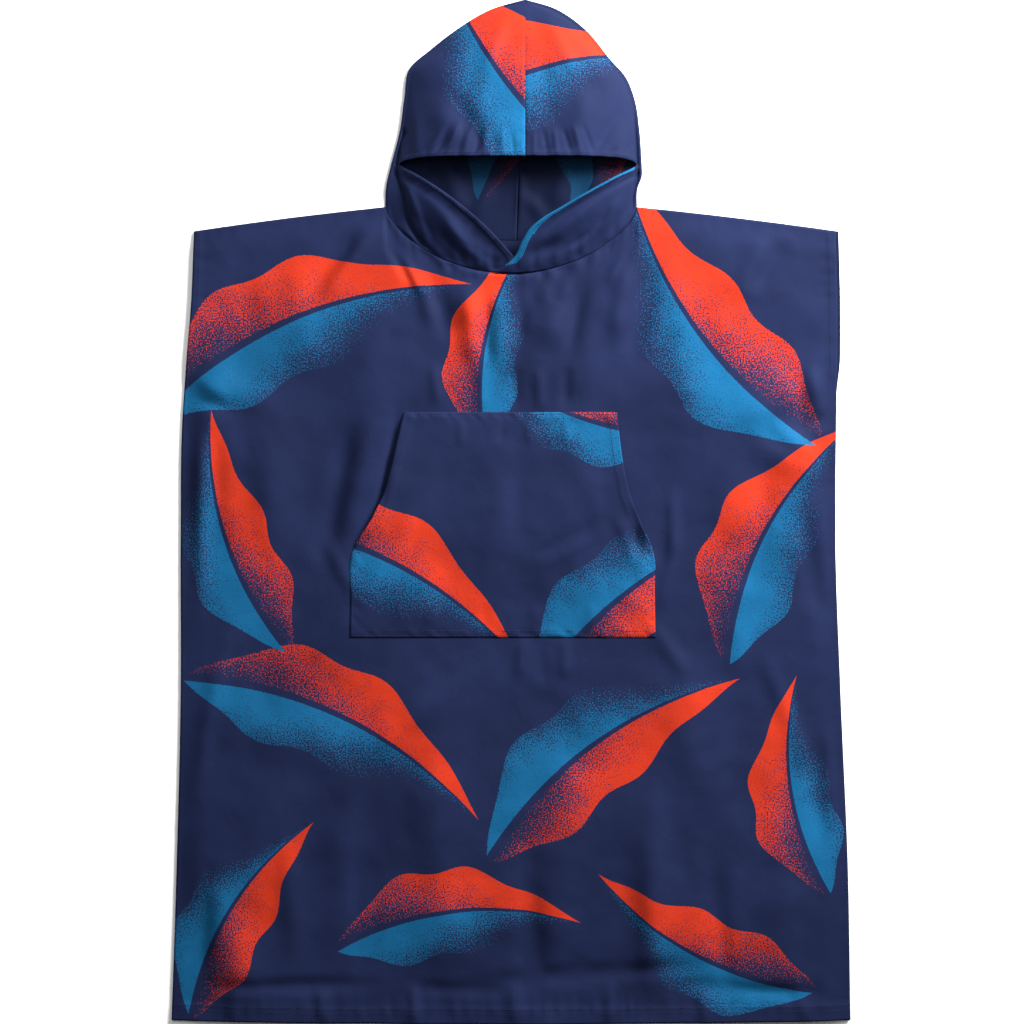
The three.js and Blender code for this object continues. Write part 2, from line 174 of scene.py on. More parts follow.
# The rolled edge of the face opening: its width, the dip behind it, and the rounding at the very edge
ROLL_WIDTH = 6
DIP_SHARE = 0.8
DIP_PLACE = 17
DIP_WIDTH = 8
EDGE_ROUNDING = 1.4
EDGE_ROUNDING_WIDTH = 1.8
# The groove along the crown seam
CROWN_GROOVE = 0.9
CROWN_GROOVE_WIDTH = 2.2
# The lower fold that shows beside the upper one: how much it drops, over what width, and its crease
LEDGE_DROP = 0.7
LEDGE_WIDTH = 4
LEDGE_CREASE = 3
LEDGE_CREASE_PLACE = 2
LEDGE_CREASE_WIDTH = 3
# How far the print of the turned hem stays from the ledge
LEDGE_MARGIN = 2

# Stage, in metres
KEY_LIGHT_PLACE = (1.2, 1.34, 1.0)
KEY_LIGHT_SIZE = 0.9
FILL_LIGHT_PLACE = (-0.6, 0.7, 2.0)
FILL_LIGHT_SIZE = 1.4
FLOOR_SIZE = 6
FLOOR_DROP = 0.0002


class Side(NamedTuple):
    """Half widths of the body at a height up its sides."""
    y: float
    left: float
    right: float


class PocketSide(NamedTuple):
    """Where the pocket's left and right edges run, at a height."""
    y: float
    left: float
    right: float


class Place(NamedTuple):
    """A point of an outline."""
    x: float
    y: float


class Width(NamedTuple):
    """The collar's half width at a height."""
    y: float
    half: float


class Edge(NamedTuple):
    """The edge of the face opening: up is 0 at the neck seam and 1 at the opening's corner."""
    up: float
    x: float


class Fold(NamedTuple):
    """A soft fold: its middle, heading from +X in degrees, length, half width and height."""
    x: float
    y: float
    heading: float
    length: float
    width: float
    height: float


class Ripple(NamedTuple):
    """Gentle unevenness: its height, how far apart its hills lie, and its seed."""
    height: float
    pitch: float
    seed: float


class Pucker(NamedTuple):
    """Puckers at a line of sewing: height as a share of the setting, reach, distance apart and seed."""
    height: float
    reach: float
    pitch: float
    seed: float


class Fade(NamedTuple):
    """How an ink thins out: its slope along a leaf, its level at the middle, and its slope outwards."""
    along: float
    middle: float
    outwards: float


class Leaf(NamedTuple):
    """A printed leaf: its middle, heading in degrees, length, width for its length, and warm half."""
    x: float
    y: float
    heading: float
    length: float
    width: float
    swap: float


BODY_SIDES = [
    Side(-614, 407, 407),
    Side(-430, 401, 404),
    Side(-214, 396, 395),
    Side(-34, 396, 389),
    Side(110, 394, 390),
    Side(180, 389, 391),
    Side(254, 383, 391),
    Side(336, 380, 389),
]

POCKET_SIDES = [
    PocketSide(POCKET_FOOT_Y, -193, 173),
    PocketSide(-95, -191.5, 172),
    PocketSide(MOUTH_END_Y, -190, 171),
    PocketSide(-10, -167, 154),
    PocketSide(22, -152, 142),
    PocketSide(48, -145, 136),
    PocketSide(90, -135, 130),
    PocketSide(POCKET_TOP_Y, -128, 127),
]

LEFT_COLLAR = [Width(365, 151), Width(388, 150), Width(CORNER_Y, 144)]
RIGHT_COLLAR = [Width(365, 151), Width(388, 152), Width(402, 157), Width(CORNER_Y, 157)]

LEFT_CAP = [
    Place(-144, CORNER_Y),
    Place(-133, 458),
    Place(-128, 495),
    Place(-122, 530),
    Place(-96, 554),
    Place(-65, 578),
    Place(-24, 602),
]
RIGHT_CAP = [
    Place(157, CORNER_Y),
    Place(154, 458),
    Place(148, 495),
    Place(138, 520),
    Place(119, 542),
    Place(90, 577),
    Place(55, 602),
]
CROWN_SEAM_X = 17
BACK_SEAM_X = 8

LEFT_EDGE = [
    Edge(0, 14),
    Edge(0.17, 1),
    Edge(0.27, -11),
    Edge(0.37, -24),
    Edge(0.47, -39),
    Edge(0.6, -62),
    Edge(0.86, -113),
    Edge(0.95, -129),
    Edge(1, -134),
]
RIGHT_EDGE = [
    Edge(0, -24),
    Edge(0.05, -11),
    Edge(0.12, 1),
    Edge(0.28, 13),
    Edge(0.41, 25),
    Edge(0.48, 38),
    Edge(0.58, 64),
    Edge(0.78, 115),
    Edge(0.94, 146),
    Edge(1, 151),
]

# The largest folds of the front, as its wall in the frame has them
BODY_FOLDS = [
    Fold(-178, 44, 76, 260, 24, 8),
    Fold(-232, 60, 84, 240, 24, -1.8),
    Fold(-356, 66, 88, 260, 22, 4),
    Fold(-46, 222, 94, 150, 22, 4.6),
    Fold(30, 196, 86, 130, 22, 3),
    Fold(92, 206, 80, 170, 24, 4),
    Fold(206, 200, 100, 280, 26, 4.4),
    Fold(-152, 246, 62, 180, 22, 4),
    Fold(-250, 232, 104, 200, 28, 2.6),
    Fold(322, 132, 26, 150, 18, 5),
    Fold(326, 66, -24, 130, 20, 4.4),
    Fold(-322, 142, 150, 130, 18, 4),
    Fold(262, -30, 86, 280, 28, 4.2),
    Fold(214, -260, 98, 220, 26, 3),
    Fold(172, -462, 90, 330, 26, 5.6),
    Fold(58, -440, 86, 320, 24, 3.6),
    Fold(-86, -425, 93, 360, 26, 5),
    Fold(-200, -400, 88, 300, 24, 3.4),
    Fold(-342, -505, 112, 230, 24, 6),
    Fold(322, -420, 95, 340, 26, 4),
]

# Smaller creases of the front: at the neck, the armholes, the pocket and the hem
BODY_CREASES = [
    Fold(-30, 222, 92, 120, 7, -4.5),
    Fold(-48, 226, 94, 130, 11, 4),
    Fold(-10, 220, 88, 120, 12, 3.6),
    Fold(12, 236, 86, 90, 9, -3),
    Fold(50, 240, 84, 110, 16, 4.2),
    Fold(78, 232, 80, 120, 10, -3.6),
    Fold(-84, 252, 100, 110, 11, -3.4),
    Fold(-104, 262, 104, 100, 10, 3),
    Fold(131, 250, 82, 120, 12, 3.6),
    Fold(156, 236, 76, 130, 12, -3.8),
    Fold(16, 266, 90, 50, 4, 2.4),
    Fold(26, 264, 88, 50, 4, -1.8),
    Fold(40, 268, 92, 54, 4, 2.4),
    Fold(53, 270, 88, 50, 4, -2),
    Fold(66, 276, 86, 50, 4.5, 2.2),
    Fold(-118, 284, 112, 60, 5, 2.2),
    Fold(-132, 294, 118, 60, 5, -2),
    Fold(128, 300, 64, 70, 6, 2.2),
    Fold(-214, 300, 55, 130, 11, -4),
    Fold(-194, 296, 55, 130, 10, 3.4),
    Fold(310, 296, 60, 90, 14, -3.4),
    Fold(286, 286, 64, 100, 14, 2.6),
    Fold(-320, 270, 96, 120, 12, -2.6),
    Fold(347, 130, 96, 100, 10, -4.6),
    Fold(368, 138, 104, 90, 8, 3.4),
    Fold(383, 98, 20, 46, 6, 3.4),
    Fold(372, 112, 30, 60, 6, -3),
    Fold(336, 86, -38, 80, 9, 2.6),
    Fold(-362, 150, 150, 70, 8, 2.8),
    Fold(-358, 128, 164, 70, 7, -2.6),
    Fold(-373, 0, 90, 240, 8, 4.2),
    Fold(-352, 10, 90, 230, 12, -3.4),
    Fold(-208, 18, 80, 200, 14, -4.8),
    Fold(-290, 30, 94, 220, 18, 2.6),
    Fold(-146, 60, 80, 150, 5, -3),
    Fold(178, -30, 95, 90, 8, -3.4),
    Fold(194, -18, 92, 110, 8, 3),
    Fold(186, -86, 74, 80, 8, 2.4),
    Fold(300, -30, 84, 200, 14, -3.2),
    Fold(358, -60, 100, 150, 10, -3.4),
    Fold(376, -40, 96, 150, 8, 2.6),
    Fold(-206, -64, 118, 90, 8, 2.4),
    Fold(-214, -150, 50, 90, 9, 2.2),
    Fold(190, -166, 124, 90, 9, 2.4),
    Fold(12, -176, 84, 60, 7, 2.4),
    Fold(36, -180, 98, 70, 7, -2.2),
    Fold(64, -176, 90, 60, 7, 2.4),
    Fold(-36, 146, 92, 60, 6, 2.2),
    Fold(6, 148, 88, 64, 6, -2),
    Fold(34, 146, 94, 60, 6, 2.4),
    Fold(66, 148, 88, 56, 6, -2),
    Fold(-90, 152, 96, 60, 7, 2),
    Fold(-120, -250, 40, 190, 16, 2.8),
    Fold(60, -262, 128, 170, 16, -2.6),
    Fold(260, -210, 70, 170, 14, 2.6),
    Fold(330, -240, 112, 200, 12, 3),
    Fold(-360, -240, 78, 240, 12, 3.2),
    Fold(-300, -180, 100, 180, 16, -3),
    Fold(23, -500, 92, 240, 16, -5),
    Fold(-175, -480, 90, 170, 14, -4.6),
    Fold(167, -480, 89, 230, 15, 3.6),
    Fold(-262, -470, 94, 200, 14, 3),
    Fold(365, -330, 96, 180, 11, -4),
    Fold(384, -320, 94, 180, 8, 3),
    Fold(-372, -510, 84, 230, 14, -5),
    Fold(250, -500, 96, 200, 13, -3.6),
    Fold(-265, -568, 1, 250, 8, -3.6),
    Fold(100, -553, 4, 330, 9, -3),
    Fold(285, -573, -3, 210, 8, -3.4),
    Fold(-60, -572, -2, 140, 8, -2.6),
    Fold(-330, -590, 84, 60, 7, 2.4),
    Fold(-226, -592, 96, 56, 6, 2),
    Fold(-118, -590, 88, 60, 7, 2.4),
    Fold(4, -592, 92, 56, 6, 2),
    Fold(118, -590, 86, 60, 7, 2.2),
    Fold(232, -592, 94, 60, 7, 2),
    Fold(346, -588, 98, 60, 7, 2.4),
]

POCKET_CREASES = [
    Fold(-112, 20, 70, 190, 15, 1.6),
    Fold(-146, -50, 54, 130, 11, 1.2),
    Fold(-126, -60, 66, 120, 9, -1.1),
    Fold(96, 20, 108, 190, 15, 1.3),
    Fold(150, -24, 100, 70, 7, -2.4),
    Fold(138, -36, 112, 90, 8, 1.8),
    Fold(160, -60, 80, 70, 7, 1.6),
    Fold(64, -34, 28, 110, 8, -1.1),
    Fold(70, -48, 28, 110, 8, 0.9),
    Fold(-20, -10, 84, 240, 18, 1.1),
    Fold(8, 30, 90, 170, 14, -1),
    Fold(40, -70, 96, 160, 16, 0.8),
    Fold(-76, -90, 84, 120, 14, -0.9),
    Fold(-60, 98, 92, 50, 6, 1.2),
    Fold(-10, 100, 86, 50, 6, -1.1),
    Fold(22, 100, 92, 50, 6, 1.2),
    Fold(66, 98, 94, 50, 6, 1.2),
    Fold(-96, -130, 88, 50, 7, 1.1),
    Fold(-30, -132, 92, 50, 7, -1),
    Fold(30, -132, 94, 50, 7, 1.1),
    Fold(96, -130, 84, 50, 7, 1.1),
]

# The hood's folds: gathers behind the brim, hollows of the cap, then the collar's tucks
HOOD_FOLDS = [
    Fold(-82, 467, -53, 100, 13, 3.6),
    Fold(-50, 464, -60, 100, 11, -3.8),
    Fold(-108, 498, -50, 90, 13, -2.6),
    Fold(118, 458, 59, 90, 9, -5.4),
    Fold(139, 450, 62, 80, 7, 3),
    Fold(84, 470, 80, 90, 12, 2.8),
    Fold(-46, 532, 84, 110, 15, -2.4),
    Fold(92, 520, 118, 110, 16, -2.6),
    Fold(-78, 346, -58, 130, 13, 3.2),
    Fold(-34, 334, -45, 110, 10, -2.6),
    Fold(127, 344, 58, 110, 5.5, -5.4),
    Fold(113, 346, 58, 100, 5, 4.4),
    Fold(102, 332, 62, 80, 4.5, -3.6),
    Fold(62, 338, 36, 120, 10, 4.4),
    Fold(36, 312, 22, 70, 8, -4),
]

HOOD_CREASES = [
    Fold(-90, 441, 62, 44, 4, 1.4),
    Fold(-79, 444, 66, 52, 3.6, -1.2),
    Fold(-69, 443, 68, 56, 3.4, 1.5),
    Fold(-60, 440, 74, 46, 3.2, -1.1),
    Fold(-51, 442, 72, 50, 3.4, 1.2),
    Fold(-40, 437, 82, 38, 3.2, -1),
    Fold(-31, 439, 84, 44, 3.2, 1.1),
    Fold(-20, 437, 94, 38, 3, -1),
    Fold(-10, 438, 90, 42, 3.2, 1.1),
    Fold(2, 436, 98, 36, 3, -0.9),
    Fold(27, 436, 88, 36, 3.2, 1),
    Fold(41, 437, 100, 40, 3.2, -1),
    Fold(53, 438, 96, 40, 3.4, 1.1),
    Fold(67, 438, 108, 42, 3.4, -1.1),
    Fold(79, 440, 104, 46, 3.6, 1.2),
    Fold(92, 441, 112, 48, 3.6, -1.1),
    Fold(-114, 452, 96, 70, 6, 2.3),
    Fold(-124, 440, 90, 60, 4.5, -1.1),
    Fold(-20, 556, 70, 90, 10, 2.1),
    Fold(60, 556, 120, 100, 11, 2.1),
    Fold(42, 500, 96, 90, 12, -1.8),
    Fold(-112, 356, -70, 90, 5, 2.6),
    Fold(-96, 330, -56, 80, 6, -2),
    Fold(-58, 322, -50, 90, 6, 1.8),
    Fold(-70, 316, -46, 70, 5, -1.7),
    Fold(-44, 304, -32, 70, 5, 2.1),
    Fold(-16, 298, -18, 50, 4.5, -1.8),
    Fold(56, 306, 26, 80, 5, 2.3),
    Fold(74, 318, 34, 90, 5, -2.5),
    Fold(88, 322, 46, 80, 4.5, 2.6),
    Fold(138, 366, 66, 80, 5, 2.6),
    Fold(146, 378, 72, 60, 4.5, -2.1),
]

# Wrinkles of the hood's lower layer, seen through the face opening
HOOD_BACK_FOLDS = [
    Fold(12, 380, 88, 130, 6, 3.2),
    Fold(-70, 396, 104, 110, 12, 4),
    Fold(64, 400, 72, 110, 12, 4.4),
    Fold(108, 410, 60, 80, 9, 3.6),
    Fold(-40, 360, 60, 90, 9, 3.6),
    Fold(34, 356, 124, 80, 9, 3.6),
    Fold(-100, 420, 80, 60, 8, 3),
]

BODY_RIPPLES = [Ripple(3.4, 150, 0.5), Ripple(2.4, 70, 1.5), Ripple(0.7, 26, 6.5)]
POCKET_RIPPLES = [Ripple(0.9, 60, 8.5), Ripple(0.35, 22, 9.5)]
HOOD_RIPPLES = [Ripple(1.1, 46, 11.5), Ripple(0.4, 19, 12.5)]
HOOD_BACK_RIPPLES = [Ripple(0.8, 40, 16.5)]

NECK_PUCKER = Pucker(2.4, 12, 9, 2.5)
SHOULDER_PUCKER = Pucker(0.5, 12, 8, 3.5)
HEM_PUCKER = Pucker(1, 16, 9, 4.5)
SIDE_PUCKER = Pucker(0.6, 12, 9, 5.5)
ARMHOLE_PUCKER = Pucker(0.8, 9, 9, 7.5)
POCKET_PUCKER = Pucker(0.7, 9, 8, 10.5)
FACE_PUCKER = Pucker(0.8, 7, 7, 13.5)
CROWN_PUCKER = Pucker(0.5, 8, 8, 14.5)
COLLAR_PUCKER = Pucker(1.5, 11, 10, 15.5)

# The printed leaves of one repeat of the cloth
PRINT_LEAVES = [
    Leaf(-0.248, 0.218, 22, 0.42, 0.32, 0),
    Leaf(0.236, 0.226, 126, 0.40, 0.34, 1),
    Leaf(-0.020, 0.205, 78, 0.27, 0.32, 0),
    Leaf(-0.330, -0.030, 108, 0.31, 0.34, 1),
    Leaf(0.316, -0.030, 62, 0.33, 0.36, 0),
    Leaf(-0.205, -0.262, -26, 0.40, 0.30, 0),
    Leaf(0.110, -0.290, 36, 0.38, 0.32, 1),
    Leaf(0.345, -0.330, 98, 0.27, 0.36, 0),
    Leaf(-0.325, -0.480, 58, 0.28, 0.36, 1),
    Leaf(-0.065, -0.490, 6, 0.30, 0.34, 0),
    Leaf(0.226, -0.520, 152, 0.30, 0.34, 1),
    Leaf(0.020, -0.060, 158, 0.30, 0.32, 1),
]
PRINT_LOW = (-0.46, -0.66, -1.0)
PRINT_HIGH = (0.46, 0.44, 1.0)

# Shape of a printed leaf, as shares of its length
LEAF_BEND = 0.42
LEAF_BEND_START = -0.04
LEAF_FULLNESS = -0.9
LEAF_WAVES = 21.0
LEAF_WAVE_DEPTH = 0.1
LEAF_RIB = 0.007
LEAF_RIB_TAPER = -0.012
LEAF_SHARPNESS = 600.0
WARM_FADE = Fade(1.3, 0.5, 0.45)
COOL_FADE = Fade(-1.3, 0.95, -0.7)

# The print's speckles: the grain's level where an ink begins and where it is full, and their crispness
SPECKLE_START = 0.25
SPECKLE_END = 0.8
SPECKLE_SHARPNESS = 9.0
PATCH_SCALE = 45.0
PATCH_DEPTH = 0.5
LEAST_INK = 0.02

# Unevenness of the cloth: the noise's middle range, then what it does to the colour and the gloss
CLOUD_SCALE = 9.0
CLOUD_LOW = 0.3
CLOUD_HIGH = 0.7
SHADE_RANGE = (0.86, 1.12)
ROUGHNESS_RANGE = (0.6, 0.72)
CRUMPLE_SCALE = 42.0
THREAD_WANDER = 0.6
SHEEN_COLOUR = (0.45, 0.6, 1, 1)

# Sewing thread, with its stitches in millimetres: half a stitch's length is a share of the pitch
TWIST_SCALE = 900.0
TWIST_DEPTH = 0.0001
# How dark the low parts of the twist are painted, as shade in its grooves
TWIST_SHADE = 0.8
STITCH_HALF_LENGTH = 0.34
STITCH_HALF_WIDTH = 0.32
STITCH_HALF_HEIGHT = 0.26
STITCH_LIFT = 0.12

# Where each piece was cut from the printed cloth: a shift in metres from the body's own place
PRINT_SHIFTS = {
    "back": (-0.44, 0.13),
    "pocket": (-0.05, -0.19),
    "hood_left": (0.25, -0.30),
    "hood_right": (-0.235, -0.28),
    "hood_left_edge": (0.12, 0.27),
    "hood_right_edge": (-0.145, 0.10),
}


# Curves and heights

def smoothstep(value, low, high):
    """A smooth step from 0 at low to 1 at high."""
    share = np.clip((value - low) / (high - low), 0, 1)
    return share * share * (3 - 2 * share)


def ease(value, low, high):
    """The smooth step of a single number."""
    return float(smoothstep(value, low, high))


def bell(distance, width):
    """A rounded hill: 1 at distance 0, and almost nothing from twice the width."""
    return math.exp(-((distance / width) ** 2))


def mix(a, b, share):
    return a + (b - a) * share


def smooth_curve(keys, values):
    """A smooth function through the values at rising keys."""
    keys = np.array(keys, float)
    values = np.array(values, float)
    slopes = np.gradient(values, keys)

    def at(key):
        key = min(max(key, keys[0]), keys[-1])
        i = min(int(np.searchsorted(keys, key, side="right")) - 1, len(keys) - 2)
        span = keys[i + 1] - keys[i]
        t = (key - keys[i]) / span
        start = (1 + 2 * t) * (1 - t) ** 2 * values[i] + t * (1 - t) ** 2 * span * slopes[i]
        end = t * t * (3 - 2 * t) * values[i + 1] + t * t * (t - 1) * span * slopes[i + 1]
        return float(start + end)

    return at


def table_curve(table, key, column):
    """A smooth function from one named column of a table to another."""
    return smooth_curve([getattr(row, key) for row in table], [getattr(row, column) for row in table])


def fold_field(folds):
    """A function of x and y that adds up a table of folds, rounded across and dying out at the ends."""
    x0, y0, heading, length, width, height = (np.array(column, float) for column in zip(*folds))
    cos = np.cos(np.radians(heading))
    sin = np.sin(np.radians(heading))

    def height_at(x, y):
        along = (x - x0) * cos + (y - y0) * sin
        across = (y - y0) * cos - (x - x0) * sin
        taper = smoothstep(length / 2 - np.abs(along), 0, length / 3)
        return float(np.sum(height * taper * np.exp(-((across / width) ** 2))))

    return height_at


def soft_floor(height):
    """Keeps a height above 0, without a kink where it comes to rest."""
    return (height + math.sqrt(height * height + REST_SOFTNESS)) / 2


def unevenness(x, y, ripples):
    """Gentle unevenness, added up from a table of ripples."""
    total = 0
    for height, pitch, seed in ripples:
        total += height * noise.noise(Vector((x / pitch, y / pitch, seed)))
    return total


def puckers(kind, distance, along):
    """Small puckers that fade with the distance from a line of sewing."""
    place = Vector((along / kind.pitch, distance / (PUCKER_STRETCH * kind.pitch), kind.seed))
    return kind.height * noise.noise(place) * bell(distance, kind.reach)


def hem_step(distance, depth, width=2.5):
    """1 on a turned hem and 0 beyond it, with a step of the given width."""
    return 1 - ease(distance, depth - width / 2, depth + width / 2)


left_half = table_curve(BODY_SIDES, "y", "left")
right_half = table_curve(BODY_SIDES, "y", "right")
TIP_LEFT = left_half(SHOULDER_TIP_Y)
TIP_RIGHT = right_half(SHOULDER_TIP_Y)


def half_at(x, y):
    return left_half(y) if x < 0 else right_half(y)


def tip_half(x):
    return TIP_LEFT if x < 0 else TIP_RIGHT


def hem_edge_y(x):
    return HEM_Y + HEM_SAG * (x / BODY_HIGH.x) ** 2


def in_armhole(y):
    return ease(y, ARMHOLE_END_Y, ARMHOLE_END_Y + ARMHOLE_START)


def shoulder_y(x):
    out = min(max((abs(x) - NECK_HALF) / (tip_half(x) - NECK_HALF), 0), 1)
    return mix(NECK_SIDE_Y, SHOULDER_TIP_Y, out) + SHOULDER_BOW * 4 * out * (1 - out)


def neck_dip(share, depth, squareness):
    return -depth * max(0, 1 - share * share) ** squareness


def front_neck_dip(share):
    return neck_dip(share, FRONT_NECK_DEPTH, FRONT_NECK_SQUARENESS)


def back_neck_dip(share):
    return neck_dip(share, BACK_NECK_DEPTH, 1)


def top_edge_y(x, dip):
    return shoulder_y(x) + (dip(x / NECK_HALF) if abs(x) < NECK_HALF else 0)


def neck_lift(x):
    return NECK_LIFT * max(0, 1 - (x / NECK_HALF) ** 2)


def neck_groove(distance):
    return NECK_GROOVE * bell(distance, NECK_GROOVE_WIDTH)


body_folds = fold_field(BODY_FOLDS)
body_creases = fold_field(BODY_CREASES)
pocket_creases = fold_field(POCKET_CREASES)
hood_folds = fold_field(HOOD_FOLDS)
hood_creases = fold_field(HOOD_CREASES)
hood_back_folds = fold_field(HOOD_BACK_FOLDS)


def front_hems(from_side, from_hem, armhole, shape):
    """How far the turned hems stand proud of the front."""
    bottom = hem_step(from_hem, shape.hem_depth)
    side = armhole * hem_step(from_side, shape.armhole_hem)
    return max(bottom, side) * shape.hem_relief


def front_puckers(x, y, from_side, from_hem, armhole, shape):
    """Puckers along the bottom hem, the side seams and the armhole hems of the front."""
    sewn = puckers(HEM_PUCKER, abs(from_hem - shape.hem_depth), x)
    sewn += (1 - armhole) * puckers(SIDE_PUCKER, from_side, y)
    sewn += armhole * puckers(ARMHOLE_PUCKER, abs(from_side - shape.armhole_hem), y)
    return shape.pucker_height * sewn


def front_height(x, y, shape):
    """Height of the front's upper face, in millimetres."""
    from_side = half_at(x, y) - abs(x)
    from_hem = y - hem_edge_y(x)
    at_side = ease(from_side, 0, SEAM_FADE)
    at_shoulder = ease(shoulder_y(x) - y, 0, SEAM_FADE)
    armhole = in_armhole(y)
    small = body_creases(x, y) + unevenness(x, y, BODY_RIPPLES)
    loose = soft_floor(shape.loft + body_folds(x, y) + small * shape.fold_strength)
    body = at_side * at_shoulder * loose
    body += ARMHOLE_GAPE * armhole * at_shoulder * (1 - at_side)
    if abs(x) < NECK_HALF:
        below_neck = top_edge_y(x, front_neck_dip) - y
        body = mix(body, neck_lift(x), 1 - ease(below_neck, 0, NECK_REACH))
        sewn_in = ease(below_neck, 0, NECK_PUCKER_START)
        body += shape.pucker_height * puckers(NECK_PUCKER, below_neck, x) * sewn_in
        body -= neck_groove(below_neck)
    else:
        body += shape.pucker_height * puckers(SHOULDER_PUCKER, shoulder_y(x) - y, x)
    hem = front_hems(from_side, from_hem, armhole, shape)
    sewn = front_puckers(x, y, from_side, from_hem, armhole, shape)
    body += hem + SEWN_SHARE * sewn * max(at_side, SEWN_AT_SIDE)
    return 2 * WALL + SEAM_GAP + max(body, 0)


pocket_left = table_curve(POCKET_SIDES, "y", "left")
pocket_right = table_curve(POCKET_SIDES, "y", "right")


def pocket_height(x, y, shape):
    """Height of the pocket's upper face, in millimetres."""
    from_side = max(0, min(x - pocket_left(y), pocket_right(y) - x))
    from_top = max(0, POCKET_TOP_Y - y)
    from_foot = max(0, y - POCKET_FOOT_Y)
    open_side = ease(y, MOUTH_END_Y, MOUTH_END_Y + SEAM_FADE)
    sides = mix(ease(from_side, 0, SEAM_FADE), 1, open_side)
    level = math.sin(math.pi * min(from_foot / (POCKET_TOP_Y - POCKET_FOOT_Y), 1))
    gape = shape.pocket_gape * open_side * level * bell(from_side, MOUTH_GAPE_WIDTH)
    puff = POCKET_LOFT * level * sides
    sewn_edge = min(from_top, from_foot, mix(from_side, FAR, open_side))
    inside = ease(sewn_edge, 0, POCKET_SEAM_FADE)
    creases = pocket_creases(x, y) * shape.fold_strength * inside
    uneven = unevenness(x, y, POCKET_RIPPLES) * inside
    sewn = shape.pucker_height * puckers(POCKET_PUCKER, abs(sewn_edge - POCKET_SEAM_INSET), x + y)
    hem = open_side * hem_step(from_side, shape.pocket_hem) * shape.hem_relief
    roll = POCKET_ROLL * bell(sewn_edge, POCKET_ROLL_WIDTH)
    over = max(puff + gape + creases + uneven + sewn + hem - roll, -POCKET_SINK)
    return front_height(x, y, shape) + WALL + SEAM_GAP + over


# Hood

def back_seam_x(y):
    """The seam down the hood's back leans to the right as it rises."""
    return mix(BACK_SEAM_X, CROWN_SEAM_X, (y - NECK_SIDE_Y) / (PEAK_Y - NECK_SIDE_Y))


class HoodRow(NamedTuple):
    """What one row of a hood half needs."""
    up: float
    cap: float
    outline: Vector
    outward: Vector
    fold: Vector
    half_height: float
    seam_x: float
    back_seam_x: float


